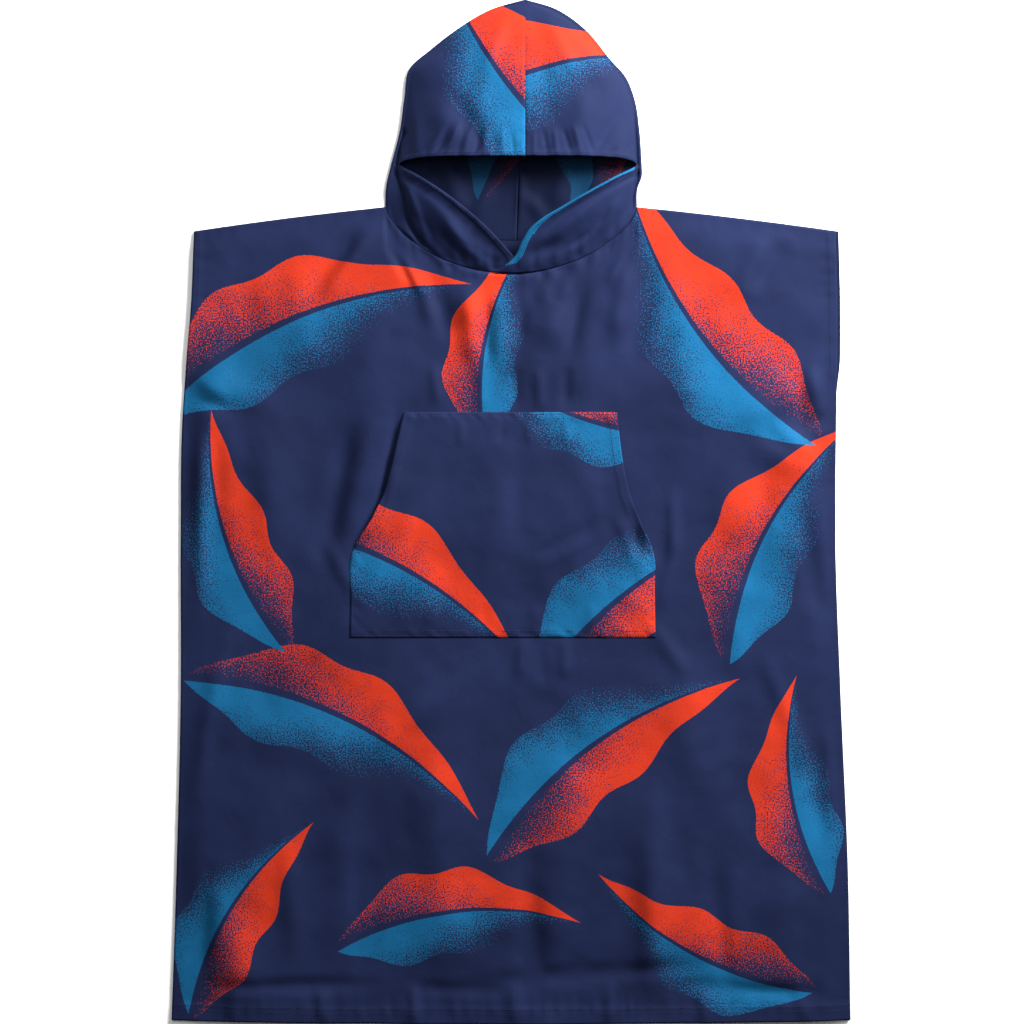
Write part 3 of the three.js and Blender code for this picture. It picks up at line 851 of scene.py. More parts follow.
class HoodHalf:
    """One half of the hood, as a surface over two places: u from the seam round to the back, v up."""

    def __init__(self, name, sign, collar, cap, edge, ledge, ledge_foot, lap, roll):
        self.name = name
        self.sign = sign
        self.ledge_x = ledge
        self.ledge_foot = ledge_foot
        self.lap = lap
        self.roll = roll
        self.half_width = table_curve(collar, "y", "half")
        self.edge_x = table_curve(edge, "up", "x")
        corners = [Vector(place) for place in cap] + [Vector((CROWN_SEAM_X, PEAK_Y))]
        steps = [0] + [(b - a).length for a, b in zip(corners, corners[1:])]
        lengths = np.cumsum(steps)
        self.cap_x = smooth_curve(lengths / lengths[-1], [corner.x for corner in corners])
        self.cap_y = smooth_curve(lengths / lengths[-1], [corner.y for corner in corners])

    def row(self, up, cap):
        """The line of the side fold and the places of the seams at one row."""
        side = self.sign * SEAM_TOUCH / 2
        outward = Vector((self.sign, 0))
        if cap <= 0:
            y = mix(NECK_SIDE_Y + SEAM_TOUCH, CORNER_Y, up)
            outline = Vector((self.sign * self.half_width(y), y))
        elif cap >= 1:
            outline = Vector((CROWN_SEAM_X + side, PEAK_Y))
            outward = Vector((0, 1))
        else:
            outline = Vector((self.cap_x(cap), self.cap_y(cap)))
            ahead = Vector((self.cap_x(cap + 0.01), self.cap_y(cap + 0.01)))
            behind = Vector((self.cap_x(cap - 0.01), self.cap_y(cap - 0.01)))
            along = (ahead - behind).normalized()
            outward = Vector((self.sign * along.y, -self.sign * along.x))
            turned = ease(cap, 0, 0.08)
            outward = Vector((self.sign, 0)).lerp(outward, turned).normalized()
            outward = outward.lerp(Vector((0, 1)), ease(cap, 0.9, 1)).normalized()
        fold = outline - outward * SIDE_FOLD_DEPTH
        rise = ease(up, 0, 0.6)
        return HoodRow(
            up,
            cap,
            outline,
            outward,
            fold,
            mix(NECK_FOLD_HALF, HOOD_FOLD_HALF, rise),
            CROWN_SEAM_X + side,
            back_seam_x(fold.y + (1 - up) * back_neck_dip(0)) + side,
        )

    def upper_height(self, row, share, x, y, from_edge, shape):
        """Height of the upper layer, at a share of the way from the crown seam to the side fold."""
        share = min(max(share, 0), 1)
        past_ledge = self.sign * x - self.ledge_x(y)
        has_ledge = ease(y, *self.ledge_foot)
        round_off = (1 - share ** 4) * (1 - LEDGE_DROP * has_ledge * ease(past_ledge, 0, LEDGE_WIDTH))
        lift = row.up * CAP_LIFT * (1 - row.cap ** 1.5)
        puff = COLLAR_PUFF * 4 * row.up * (1 - row.up)
        settled = ease(row.up, 0, 0.3) * (1 - row.cap ** 4)
        small = hood_creases(x, y) + unevenness(x, y, HOOD_RIPPLES)
        folds = settled * (hood_folds(x, y) + small * shape.fold_strength)
        lap = self.lap * (1 - ease(x, *LAP_FADE_X)) * (1 - ease(row.up, *LAP_FADE_UP))
        height = 2 * row.half_height + (lift + puff + folds) * round_off + lap
        height = max(height, 2 * WALL + SEAM_GAP) + (1 - row.up) * neck_lift(x)
        height += self.edge_roll(row, from_edge)
        sewn = self.face_hem(x, y, from_edge, shape)
        if row.up >= 1:
            sewn += self.crown_seam(row, x, y, shape)
        sewn -= LEDGE_CREASE * has_ledge * bell(past_ledge - LEDGE_CREASE_PLACE, LEDGE_CREASE_WIDTH)
        return height + sewn * (1 - row.cap ** 4) + self.neck_seam(row, x, shape)

    def edge_roll(self, row, from_edge):
        """The collar's edge round the face: a roll, the dip behind it, and its rounded end."""
        if row.cap > 0:
            return 0
        roll = self.roll * bell(from_edge, ROLL_WIDTH)
        roll -= DIP_SHARE * self.roll * bell(from_edge - DIP_PLACE, DIP_WIDTH)
        roll -= EDGE_ROUNDING * bell(from_edge, EDGE_ROUNDING_WIDTH)
        return roll * ease(row.up, 0.1, 0.3) * (1 - row.up ** 6)

    def face_hem(self, x, y, from_edge, shape):
        """The turned hem round the face, with its puckers."""
        hem = shape.hem_relief * hem_step(from_edge, shape.hood_hem, 2)
        return hem + shape.pucker_height * puckers(FACE_PUCKER, abs(from_edge - shape.hood_hem), x - y)

    def crown_seam(self, row, x, y, shape):
        """The groove of the crown seam, with the puckers beside it."""
        from_seam = abs(x - CROWN_SEAM_X)
        beside = shape.pucker_height * puckers(CROWN_PUCKER, from_seam, y)
        return beside - CROWN_GROOVE * bell(from_seam, CROWN_GROOVE_WIDTH) * (1 - row.cap)

    def neck_seam(self, row, x, shape):
        """The puckers above the neck seam, less its groove."""
        above_neck = row.up * COLLAR_RISE
        sewn = shape.pucker_height * puckers(COLLAR_PUCKER, above_neck, x) * ease(row.up, 0, 0.05)
        return sewn - neck_groove(above_neck)

    def cap_point(self, column, row, shape):
        """A point between the brim and the peak. column is 0 at the seam, 1 at the corner, 2 at the fold."""
        at_brim = (self.edge_x(1) - row.seam_x) / (row.fold.x - row.seam_x) if row.cap < 1 else 1
        corner = mix(at_brim, EVEN_SHARE, ease(row.cap, 0, 0.5)) if row.cap < 1 else 1
        share = column * corner if column <= 1 else mix(corner, 1, column - 1)
        bend = 0.5 + ease(row.cap, 0, 0.1)
        arch = max(0, 1 - (share / corner) ** BRIM_SQUARENESS) ** bend * (1 - row.cap) ** 3
        x = mix(row.seam_x, row.fold.x, share)
        y = row.fold.y + BRIM_RISE * arch
        from_edge = row.cap * CAP_LENGTH if share <= corner else FAR
        return Vector((x, y, self.upper_height(row, share, x, y, from_edge, shape)))

    def collar_point(self, across, row, shape):
        """A point between the edge of the face opening, across 0, and the side fold, across 1."""
        edge = self.edge_x(row.up)
        x = mix(edge, row.fold.x, across)
        share = (x - row.seam_x) / (row.fold.x - row.seam_x)
        y = row.outline.y + (1 - row.up) * front_neck_dip(x / abs(row.outline.x))
        from_edge = abs(x - edge) * EDGE_SLANT
        return Vector((x, y, self.upper_height(row, share, x, y, from_edge, shape)))

    def side_point(self, turn, row):
        """A point round the side fold, from turn 0 on the upper layer to 1 on the lower one."""
        angle = math.pi * (0.5 - turn)
        out = SIDE_FOLD_DEPTH * math.cos(angle)
        dip = front_neck_dip if angle > 0 else back_neck_dip
        x = row.fold.x + row.outward.x * out
        share = min(max(x / abs(row.outline.x), -1), 1) if row.up < 1 else 0
        y = row.fold.y + row.outward.y * out + (1 - row.up) * dip(share)
        return Vector((x, y, row.half_height * (1 + math.sin(angle))))

    def back_point(self, across, row, shape):
        """A point of the lower layer, from the side fold, across 0, to the seam down the back."""
        x = mix(row.fold.x, row.back_seam_x, across)
        y = row.fold.y + (1 - row.up) * back_neck_dip(x / abs(row.outline.x))
        settled = ease(row.up, 0.1, 0.5) * ease(across, 0, 0.3) * (1 - row.cap) ** 2
        wrinkle = max(0, hood_back_folds(x, y) + unevenness(x, y, HOOD_BACK_RIPPLES)) * settled
        return Vector((x, y, wrinkle * shape.fold_strength))
# Where the hood's upper fold ends and a lower one shows beside it
LEFT_LEDGE = [
    Place(78, 300),
    Place(94, 313),
    Place(107, 325),
    Place(119, 345),
    Place(124, 378),
    Place(134, 404),
    Place(134, 418),
    Place(133, 440),
    Place(131.5, 459),
    Place(190, 475),
]
RIGHT_LEDGE = [
    Place(190, 330),
    Place(150, 360),
    Place(148, 390),
    Place(149, 402),
    Place(150, 418),
    Place(149.5, 460),
    Place(151, 485),
    Place(190, 530),
]
HOOD_HALVES = [
    HoodHalf(
        "hood_left",
        sign=-1,
        collar=LEFT_COLLAR,
        cap=LEFT_CAP,
        edge=LEFT_EDGE,
        ledge=table_curve(LEFT_LEDGE, "y", "x"),
        ledge_foot=(304, 328),
        lap=0,
        roll=2,
    ),
    HoodHalf(
        "hood_right",
        sign=1,
        collar=RIGHT_COLLAR,
        cap=RIGHT_CAP,
        edge=RIGHT_EDGE,
        ledge=table_curve(RIGHT_LEDGE, "y", "x"),
        ledge_foot=(335, 360),
        lap=LAP_LIFT,
        roll=3,
    ),
]


# Mesh helpers

def spaced(*stretches):
    """Places along one direction, from stretches of (start, end, steps) that follow each other."""
    places = [stretches[0][0]]
    for start, end, steps in stretches:
        places.extend(start + (end - start) * i / steps for i in range(1, steps + 1))
    return places


def between(start, end, steps):
    """Even places from start to end, both included."""
    return [mix(start, end, i / steps) for i in range(steps + 1)]


def cloth_mesh(name, columns, rows, place_at, cut=None, flip=False):
    """A mesh from a grid whose points place_at(column, row) moves, as a place and a place on the cloth."""
    bm = bmesh.new()
    bmesh.ops.create_grid(bm, x_segments=columns, y_segments=rows, size=0.5)
    bm.verts.ensure_lookup_table()
    cloth_places = []
    for index, vert in enumerate(bm.verts):
        row, column = divmod(index, columns + 1)
        place, cloth_place = place_at(column, row)
        vert.co = place * MM
        cloth_places.append(cloth_place)
    uv_layer = bm.loops.layers.uv.new("Cloth")
    index_of = {vert: index for index, vert in enumerate(bm.verts)}
    for face in bm.faces:
        for loop in face.loops:
            loop[uv_layer].uv = cloth_places[index_of[loop.vert]]
        face.smooth = True
    if cut:
        gone = [face for index, face in enumerate(bm.faces) if cut(*reversed(divmod(index, columns)))]
        bmesh.ops.delete(bm, geom=gone, context="FACES")
    bmesh.ops.remove_doubles(bm, verts=bm.verts, dist=1e-6)
    bmesh.ops.dissolve_degenerate(bm, edges=bm.edges, dist=1e-6)
    if flip:
        bmesh.ops.reverse_faces(bm, faces=bm.faces)
    mesh = bpy.data.meshes.new(name)
    bm.to_mesh(mesh)
    bm.free()
    return mesh


def add_object(name, mesh, *materials):
    piece = bpy.data.objects.new(name, mesh)
    bpy.context.scene.collection.objects.link(piece)
    for material in materials:
        piece.data.materials.append(material)
    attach(piece, "root")
    return piece


def thicken(piece, thickness):
    """Makes a wall under the modelled outer face, with the inner cloth on its other side."""
    wall = piece.modifiers.new("Wall", "SOLIDIFY")
    wall.thickness = thickness
    wall.offset = -1
    wall.use_even_offset = True
    wall.use_quality_normals = True
    wall.material_offset = 1


def across_body(hem, fine_steps, shoulder_steps, neck_steps):
    """Column places from one shoulder tip to the other, closer at the armhole hems and the neck's sides."""
    places = spaced((-TIP_LEFT, -TIP_LEFT + hem, fine_steps), (-TIP_LEFT + hem, -NECK_HALF, shoulder_steps))
    for i in range(1, neck_steps):
        even = 2 * i / neck_steps - 1
        crowded = -math.cos(math.pi * i / neck_steps)
        places.append(NECK_HALF * (even + crowded) / 2)
    right = spaced((NECK_HALF, TIP_RIGHT - hem, shoulder_steps), (TIP_RIGHT - hem, TIP_RIGHT, fine_steps))
    return places + right


def body_mesh(name, columns, rise, shows, dip, height_at, shift, flip=False):
    """One body panel. rise holds shares of the way from the hem to the top edge."""
    def place_at(column, row):
        place = columns[column]
        low = hem_edge_y(place)
        y = mix(low, top_edge_y(place, dip), rise[row])
        outward = max(0, (abs(place) - NECK_HALF) / (tip_half(place) - NECK_HALF))
        extra = shows * in_armhole(y) * (place > 0)
        x = place + math.copysign(outward * (half_at(place, y) + extra - tip_half(place)), place)
        cloth_place = (x * MM + shift[0], y * MM + shift[1])
        return Vector((x, y, height_at(x, y))), cloth_place

    return cloth_mesh(name, len(columns) - 1, len(rise) - 1, place_at, flip=flip)


# Material helpers

def add_node(tree, kind, sockets=None, **settings):
    """Adds a node, sets its settings, and sets or links its sockets."""
    node = tree.nodes.new(kind)
    for key, value in settings.items():
        setattr(node, key, value)
    for key, value in (sockets or {}).items():
        if isinstance(value, bpy.types.NodeSocket):
            tree.links.new(value, node.inputs[key])
        else:
            node.inputs[key].default_value = value
    return node


def calc(tree, operation, a, b=0.0, c=0.0, clamp=False):
    """A Math node's result."""
    node = add_node(tree, "ShaderNodeMath", {0: a, 1: b, 2: c}, operation=operation, use_clamp=clamp)
    return node.outputs[0]


def new_group(name, inputs, outputs):
    """An empty node group with its two ends."""
    tree = bpy.data.node_groups.new(name, "ShaderNodeTree")
    for socket, kind in inputs:
        tree.interface.new_socket(socket, in_out="INPUT", socket_type=kind)
    for socket, kind in outputs:
        tree.interface.new_socket(socket, in_out="OUTPUT", socket_type=kind)
    return tree, tree.nodes.new("NodeGroupInput").outputs, tree.nodes.new("NodeGroupOutput")


def leaf_ink(tree, shape, side, x, outer, fade):
    """How thickly one ink lies on its half of a leaf."""
    level = calc(tree, "MULTIPLY_ADD", x, fade.along, fade.middle)
    cover = calc(tree, "MULTIPLY_ADD", outer, fade.outwards, level, clamp=True)
    return calc(tree, "MULTIPLY", calc(tree, "MULTIPLY", shape, side), cover)


def leaf_half_width(tree, x, along, width):
    """The leaf's half width: pointed at both ends, fuller towards its stalk, with a wavy edge."""
    taper = calc(tree, "MULTIPLY_ADD", along, -4.0, 1.0, clamp=True)
    fuller = calc(tree, "MULTIPLY_ADD", x, LEAF_FULLNESS, 1.0)
    wave = calc(tree, "SINE", calc(tree, "MULTIPLY", x, LEAF_WAVES))
    waves = calc(tree, "MULTIPLY_ADD", wave, LEAF_WAVE_DEPTH, 1.0)
    profile = calc(tree, "MULTIPLY", calc(tree, "MULTIPLY", taper, fuller), waves)
    return calc(tree, "MULTIPLY", profile, width)


def sharp_step(tree, a, b):
    """1 where a is more than b and 0 where it is less, with a crisp soft edge."""
    return calc(tree, "MULTIPLY", calc(tree, "SUBTRACT", a, b), LEAF_SHARPNESS, clamp=True)


def leaf_group():
    """One leaf in its own frame, x along it from -0.5 to 0.5: how thickly each of the two inks lies."""
    tree, given, result = new_group(
        "Printed leaf",
        [("Vector", "NodeSocketVector"), ("Width", "NodeSocketFloat"), ("Swap", "NodeSocketFloat")],
        [("Inks", "NodeSocketVector")],
    )
    place = add_node(tree, "ShaderNodeSeparateXYZ", {0: given["Vector"]})
    x = place.outputs["X"]
    along = calc(tree, "MULTIPLY", x, x)
    bend = calc(tree, "MULTIPLY_ADD", along, LEAF_BEND, LEAF_BEND_START)
    y = calc(tree, "ADD", place.outputs["Y"], bend)
    away = calc(tree, "ABSOLUTE", y)
    half_width = leaf_half_width(tree, x, along, given["Width"])
    rib_width = calc(tree, "MULTIPLY_ADD", x, LEAF_RIB_TAPER, LEAF_RIB)
    shape = calc(tree, "MULTIPLY", sharp_step(tree, half_width, away), sharp_step(tree, away, rib_width))
    outer = calc(tree, "DIVIDE", away, half_width)
    upper = calc(tree, "GREATER_THAN", y, 0.0)
    warm_side = calc(tree, "ABSOLUTE", calc(tree, "SUBTRACT", upper, given["Swap"]))
    cool_side = calc(tree, "SUBTRACT", 1.0, warm_side)
    warm_ink = leaf_ink(tree, shape, warm_side, x, outer, WARM_FADE)
    cool_ink = leaf_ink(tree, shape, cool_side, x, outer, COOL_FADE)
    inks = add_node(tree, "ShaderNodeCombineXYZ", {"X": warm_ink, "Y": cool_ink})
    tree.links.new(inks.outputs[0], result.inputs["Inks"])
    return tree


def print_group():
    """The whole print: how thickly the warm and the cool ink lie at a place on the cloth."""
    tree, given, result = new_group(
        "Leaf print",
        [("Vector", "NodeSocketVector")],
        [("Warm", "NodeSocketFloat"), ("Cool", "NodeSocketFloat")],
    )
    leaf_tree = leaf_group()
    repeat = add_node(
        tree,
        "ShaderNodeVectorMath",
        {0: given["Vector"], 1: PRINT_HIGH, 2: PRINT_LOW},
        operation="WRAP",
    )
    inks = None
    for leaf in PRINT_LEAVES:
        place = add_node(
            tree,
            "ShaderNodeMapping",
            {
                "Vector": repeat.outputs[0],
                "Location": (leaf.x, leaf.y, 0),
                "Rotation": (0, 0, math.radians(leaf.heading)),
                "Scale": (leaf.length, leaf.length, 1),
            },
            vector_type="TEXTURE",
        )
        sockets = {"Vector": place.outputs[0], "Width": leaf.width / 2, "Swap": leaf.swap}
        one = add_node(tree, "ShaderNodeGroup", sockets, node_tree=leaf_tree)
        if inks is None:
            inks = one.outputs[0]
        else:
            both = add_node(tree, "ShaderNodeVectorMath", {0: inks, 1: one.outputs[0]}, operation="MAXIMUM")
            inks = both.outputs[0]
    parts = add_node(tree, "ShaderNodeSeparateXYZ", {0: inks})
    tree.links.new(parts.outputs["X"], result.inputs["Warm"])
    tree.links.new(parts.outputs["Y"], result.inputs["Cool"])
    return tree


def blend_colours(tree, share, first, second, blend="MIX"):
    """The result of mixing two colours. A Mix node keeps its colour sockets at places 6 and 7."""
    sockets = {0: share, 6: first, 7: second}
    node = add_node(tree, "ShaderNodeMix", sockets, data_type="RGBA", blend_type=blend)
    return node.outputs[2]


def new_material(name):
    """A new material, its node tree and its shader."""
    material = bpy.data.materials.new(name)
    material.use_nodes = True
    tree = material.node_tree
    return material, tree, tree.nodes["Principled BSDF"]


def cloth_noise(tree, uv, scale, detail, roughness=0.5, distortion=0.0):
    """Noise over the plane of the cloth."""
    sockets = {
        "Vector": uv,
        "Scale": scale,
        "Detail": detail,
        "Roughness": roughness,
        "Distortion": distortion,
    }
    return add_node(tree, "ShaderNodeTexNoise", sockets, noise_dimensions="2D").outputs[0]


def cloud_range(tree, cloud, low, high):
    """Spreads the middle of a noise over a range."""
    sockets = {
        "Value": cloud,
        "From Min": CLOUD_LOW,
        "From Max": CLOUD_HIGH,
        "To Min": low,
        "To Max": high,
    }
    return add_node(tree, "ShaderNodeMapRange", sockets).outputs[0]


def speckled(tree, ink, grain):
    """Turns an even cover of ink into fine speckles, solid where the cover is full."""
    sockets = {
        "Value": ink,
        "From Min": 0.0,
        "From Max": 1.0,
        "To Min": SPECKLE_START,
        "To Max": SPECKLE_END,
    }
    level = add_node(tree, "ShaderNodeMapRange", sockets).outputs[0]
    return calc(tree, "MULTIPLY", calc(tree, "SUBTRACT", level, grain), SPECKLE_SHARPNESS, clamp=True)


def ink_covers(tree, uv, cloth, leaves):
    """Where the warm ink and the cool ink show."""
    group = add_node(tree, "ShaderNodeGroup", {"Vector": uv}, node_tree=leaves)
    grain = cloth_noise(tree, uv, 1 / cloth.speckle_size, 1.0, 0.6)
    patches = cloth_noise(tree, uv, PATCH_SCALE, 2.0)
    uneven = calc(tree, "MULTIPLY_ADD", patches, PATCH_DEPTH, -PATCH_DEPTH / 2)
    covers = []
    for ink in ("Warm", "Cool"):
        cover = group.outputs[ink]
        level = calc(tree, "MULTIPLY_ADD", cover, uneven, cover)
        there = calc(tree, "GREATER_THAN", cover, LEAST_INK)
        covers.append(calc(tree, "MULTIPLY", there, speckled(tree, level, grain)))
    return covers


def cloth_colour(tree, uv, cloud, cloth, leaves, inner):
    """The ground and its two inks, duller on the inside and darkened there further as painted shade, with
    soft clouds.
    """
    has_warm, has_cool = ink_covers(tree, uv, cloth, leaves)
    colour = blend_colours(tree, has_warm, (*cloth.ground_colour, 1), (*cloth.warm_colour, 1))
    colour = blend_colours(tree, has_cool, colour, (*cloth.cool_colour, 1))
    # Inside faces move towards a dark colour: partly the print's duller reverse, partly painted shade of the
    # hood's hollow.
    if inner:
        colour = blend_colours(tree, cloth.inner_dull_and_shade_fade, colour, (*cloth.inner_dull_and_shade_colour, 1))
    return blend_colours(tree, 1.0, colour, cloud_range(tree, cloud, *SHADE_RANGE), "MULTIPLY")


def thread_waves(tree, uv, pitch, direction):
    """Threads side by side. A Wave node's bands lie 2 pi / 20 apart at scale 1."""
    sockets = {
        "Vector": uv,
        "Scale": math.pi / (10 * pitch),
        "Distortion": THREAD_WANDER,
        "Detail": 1.0,
    }
    return add_node(tree, "ShaderNodeTexWave", sockets, bands_direction=direction).outputs["Fac"]


def cloth_relief(tree, uv, cloth):
    """The weave's crossing threads on a faint crumpling, as a bump."""
    warp = thread_waves(tree, uv, cloth.weave_pitch, "X")
    weft = thread_waves(tree, uv, cloth.weave_pitch, "Y")
    weave = calc(tree, "MULTIPLY", warp, weft)
    crumple = cloth_noise(tree, uv, CRUMPLE_SCALE, 3.0, distortion=0.4)
    relief = calc(tree, "MULTIPLY_ADD", crumple, cloth.crumple_relief / cloth.weave_relief, weave)
    sockets = {"Height": relief, "Strength": 1.0, "Distance": cloth.weave_relief}
    return add_node(tree, "ShaderNodeBump", sockets).outputs[0]


def printed_cloth(name, cloth, leaves, inner=False):
    """Smooth printed cloth: its ink, fine weave, soft sheen and slight unevenness of colour."""
    material, tree, shader = new_material(name)
    uv = add_node(tree, "ShaderNodeUVMap", uv_map="Cloth").outputs[0]
    cloud = cloth_noise(tree, uv, CLOUD_SCALE, 3.0, 0.55)
    colour = cloth_colour(tree, uv, cloud, cloth, leaves, inner)
    tree.links.new(colour, shader.inputs["Base Color"])
    tree.links.new(cloth_relief(tree, uv, cloth), shader.inputs["Normal"])
    tree.links.new(cloud_range(tree, cloud, *ROUGHNESS_RANGE), shader.inputs["Roughness"])
    shader.inputs["Specular IOR Level"].default_value = 0.03
    shader.inputs["Sheen Weight"].default_value = cloth.sheen
    shader.inputs["Sheen Roughness"].default_value = 0.4
    shader.inputs["Sheen Tint"].default_value = SHEEN_COLOUR
    return material


def thread_material(cloth):
    """Twisted sewing thread, darker as painted shade where its twist lies low."""
    material, tree, shader = new_material("Sewing thread")
    place = add_node(tree, "ShaderNodeTexCoord").outputs["Object"]
    sockets = {"Vector": place, "Scale": TWIST_SCALE, "Detail": 1.0}
    twist = add_node(tree, "ShaderNodeTexNoise", sockets).outputs[0]
    # Painted shade: the thread's colour darkens where the twist's bump lies low.
    twist_groove_shade = (*(TWIST_SHADE * channel for channel in cloth.thread_colour), 1)
    colour = blend_colours(tree, twist, twist_groove_shade, (*cloth.thread_colour, 1))
    tree.links.new(colour, shader.inputs["Base Color"])
    bump = add_node(tree, "ShaderNodeBump", {"Height": twist, "Distance": TWIST_DEPTH})
    tree.links.new(bump.outputs[0], shader.inputs["Normal"])
    shader.inputs["Roughness"].default_value = 0.55
    shader.inputs["Specular IOR Level"].default_value = 0.2
    shader.inputs["Sheen Weight"].default_value = 0.02
    return material


def cloth_materials(cloth):
    """The outer and inner cloth, made once."""
    if "Printed cloth, outside" not in bpy.data.materials:
        leaves = print_group()
        printed_cloth("Printed cloth, outside", cloth, leaves)
        printed_cloth("Printed cloth, inside", cloth, leaves, inner=True)
    return bpy.data.materials["Printed cloth, outside"], bpy.data.materials["Printed cloth, inside"]


# Sizes and colours that a user may change

class PonchoClothSettings(bpy.types.PropertyGroup):
    thickness: bpy.props.FloatProperty(
        name="Thickness",
        description="Thickness of one layer",
        default=0.0008, min=0.0004, max=0.0012, unit="LENGTH",
    )
    weave_pitch: bpy.props.FloatProperty(
        name="Weave pitch",
        description="Distance between threads",
        default=0.0008, min=0.0003, unit="LENGTH",
    )
    weave_relief: bpy.props.FloatProperty(
        name="Weave relief",
        description="Depth of the weave",
        default=0.00006, min=0, unit="LENGTH",
    )
    crumple_relief: bpy.props.FloatProperty(
        name="Crumple relief",
        description="Depth of faint crumpling",
        default=0.0005, min=0, unit="LENGTH",
    )
    speckle_size: bpy.props.FloatProperty(
        name="Speckle size",
        description="Size of the print's speckles",
        default=0.0017, min=0.0005, unit="LENGTH",
    )
    ground_colour: bpy.props.FloatVectorProperty(
        name="Ground",
        description="Colour of the cloth's ground",
        default=(0.0082, 0.0124, 0.0405), subtype="COLOR",
    )
    warm_colour: bpy.props.FloatVectorProperty(
        name="Warm ink",
        description="Colour of the warm half of a leaf",
        default=(0.36, 0.023, 0.008), subtype="COLOR",
    )
    cool_colour: bpy.props.FloatVectorProperty(
        name="Cool ink",
        description="Colour of the cool half of a leaf",
        default=(0.005, 0.072, 0.165), subtype="COLOR",
    )
    # The inside's colour: partly the print's duller reverse, partly painted shade inside the hood.
    inner_dull_and_shade_colour: bpy.props.FloatVectorProperty(
        name="Inside",
        description="Colour that the inside fades to",
        default=(0.0024, 0.004, 0.0135), subtype="COLOR",
    )
    # How far the inside moves to that colour, as duller print and painted shade.
    inner_dull_and_shade_fade: bpy.props.FloatProperty(
        name="Inside fade",
        description="How far the print fades inside",
        default=0.7, min=0, max=1, subtype="FACTOR",
    )
    thread_colour: bpy.props.FloatVectorProperty(
        name="Thread",
        description="Colour of the sewing thread",
        default=(0.007, 0.012, 0.043), subtype="COLOR",
    )
    sheen: bpy.props.FloatProperty(
        name="Sheen",
        description="Strength of the cloth's sheen",
        default=0.02, min=0, max=1, subtype="FACTOR",
    )


class PonchoShapeSettings(bpy.types.PropertyGroup):
    loft: bpy.props.FloatProperty(
        name="Loft",
        description="How far the front lies clear of the back, in millimetres",
        default=3.6, min=1, max=8,
    )
    fold_strength: bpy.props.FloatProperty(
        name="Crease strength",
        description="Strength of the small creases",
        default=1.3, min=0, max=1.5, subtype="FACTOR",
    )
    pucker_height: bpy.props.FloatProperty(
        name="Pucker height",
        description="Height of puckers at seams, in millimetres",
        default=2.2, min=0, max=4,
    )
    hem_depth: bpy.props.FloatProperty(
        name="Hem depth",
        description="Depth of the bottom hem, in millimetres",
        default=20, min=5, max=40,
    )
    armhole_hem: bpy.props.FloatProperty(
        name="Armhole hem",
        description="Depth of the armhole hems, in millimetres",
        default=10, min=4, max=20,
    )
    pocket_hem: bpy.props.FloatProperty(
        name="Pocket hem",
        description="Depth of the pocket mouths' hems, in millimetres",
        default=12, min=4, max=30,
    )
    hood_hem: bpy.props.FloatProperty(
        name="Hood hem",
        description="Depth of the hem round the face, in millimetres",
        default=6, min=3, max=20,
    )
    hem_relief: bpy.props.FloatProperty(
        name="Hem relief",
        description="How far a hem stands proud, in millimetres",
        default=0.7, min=0, max=1.5,
    )
    pocket_gape: bpy.props.FloatProperty(
        name="Pocket gape",
        description="How far the pocket's mouths stand open, in millimetres",
        default=4, min=0, max=6,
    )
    stitch_pitch: bpy.props.FloatProperty(
        name="Stitch pitch",
        description="Distance between stitches, in millimetres",
        default=3.4, min=2, max=6,
    )


class PonchoStageSettings(bpy.types.PropertyGroup):
    floor_colour: bpy.props.FloatVectorProperty(
        name="Floor",
        description="Colour of the floor",
        default=(0.93, 0.93, 0.93), subtype="COLOR",
    )
    key_power: bpy.props.FloatProperty(
        name="Key light",
        description="Power of the key light",
        default=182, min=0, unit="POWER",
    )
    fill_power: bpy.props.FloatProperty(
        name="Fill light",
        description="Power of the fill light",
        default=20, min=0, unit="POWER",
    )
    world_strength: bpy.props.FloatProperty(
        name="Surroundings",
        description="Strength of the even light all round",
        default=0.145, min=0,
    )


class PonchoOperator(bpy.types.Operator):
    """What the poncho's operators share"""
    bl_options = {"REGISTER", "UNDO"}

    def read(self, context):
        scene = context.scene
        return scene.poncho_cloth, scene.poncho_shape


# Pieces

class PONCHO_OT_back(PonchoOperator):
    """Lays out the back of the body"""
    bl_idname = "poncho.back"
    bl_label = "Back"

    def execute(self, context):
        cloth, shape = self.read(context)
        outside, inside = cloth_materials(cloth)
        columns = across_body(shape.armhole_hem, fine_steps=3, shoulder_steps=26, neck_steps=34)
        hem_end = HEM_REACH * (shape.hem_depth / (NECK_SIDE_Y - HEM_Y))
        rise = spaced((0, hem_end, 6), (hem_end, 1, 90))
        mesh = body_mesh(
            "back_cloth",
            columns,
            rise,
            BACK_SHOWS,
            back_neck_dip,
            lambda x, y: 0,
            PRINT_SHIFTS["back"],
            flip=True,
        )
        piece = add_object("back_cloth", mesh, outside, inside)
        thicken(piece, cloth.thickness)
        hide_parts("back_panel")
        return {"FINISHED"}


class PONCHO_OT_front(PonchoOperator):
    """Lays the front of the body on the back"""
    bl_idname = "poncho.front"
    bl_label = "Front"

    def execute(self, context):
        cloth, shape = self.read(context)
        outside, inside = cloth_materials(cloth)
        columns = across_body(shape.armhole_hem + 2, fine_steps=5, shoulder_steps=48, neck_steps=80)
        hem_end = HEM_REACH * (shape.hem_depth / (NECK_SIDE_Y - HEM_Y))
        rise = spaced((0, hem_end, 10), (hem_end, 0.86, 160), (0.86, 1, 46))
        mesh = body_mesh(
            "front_cloth",
            columns,
            rise,
            0,
            front_neck_dip,
            lambda x, y: front_height(x, y, shape),
            (0, 0),
        )
        piece = add_object("front_cloth", mesh, outside, inside)
        thicken(piece, cloth.thickness)
        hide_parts("front_panel")
        return {"FINISHED"}


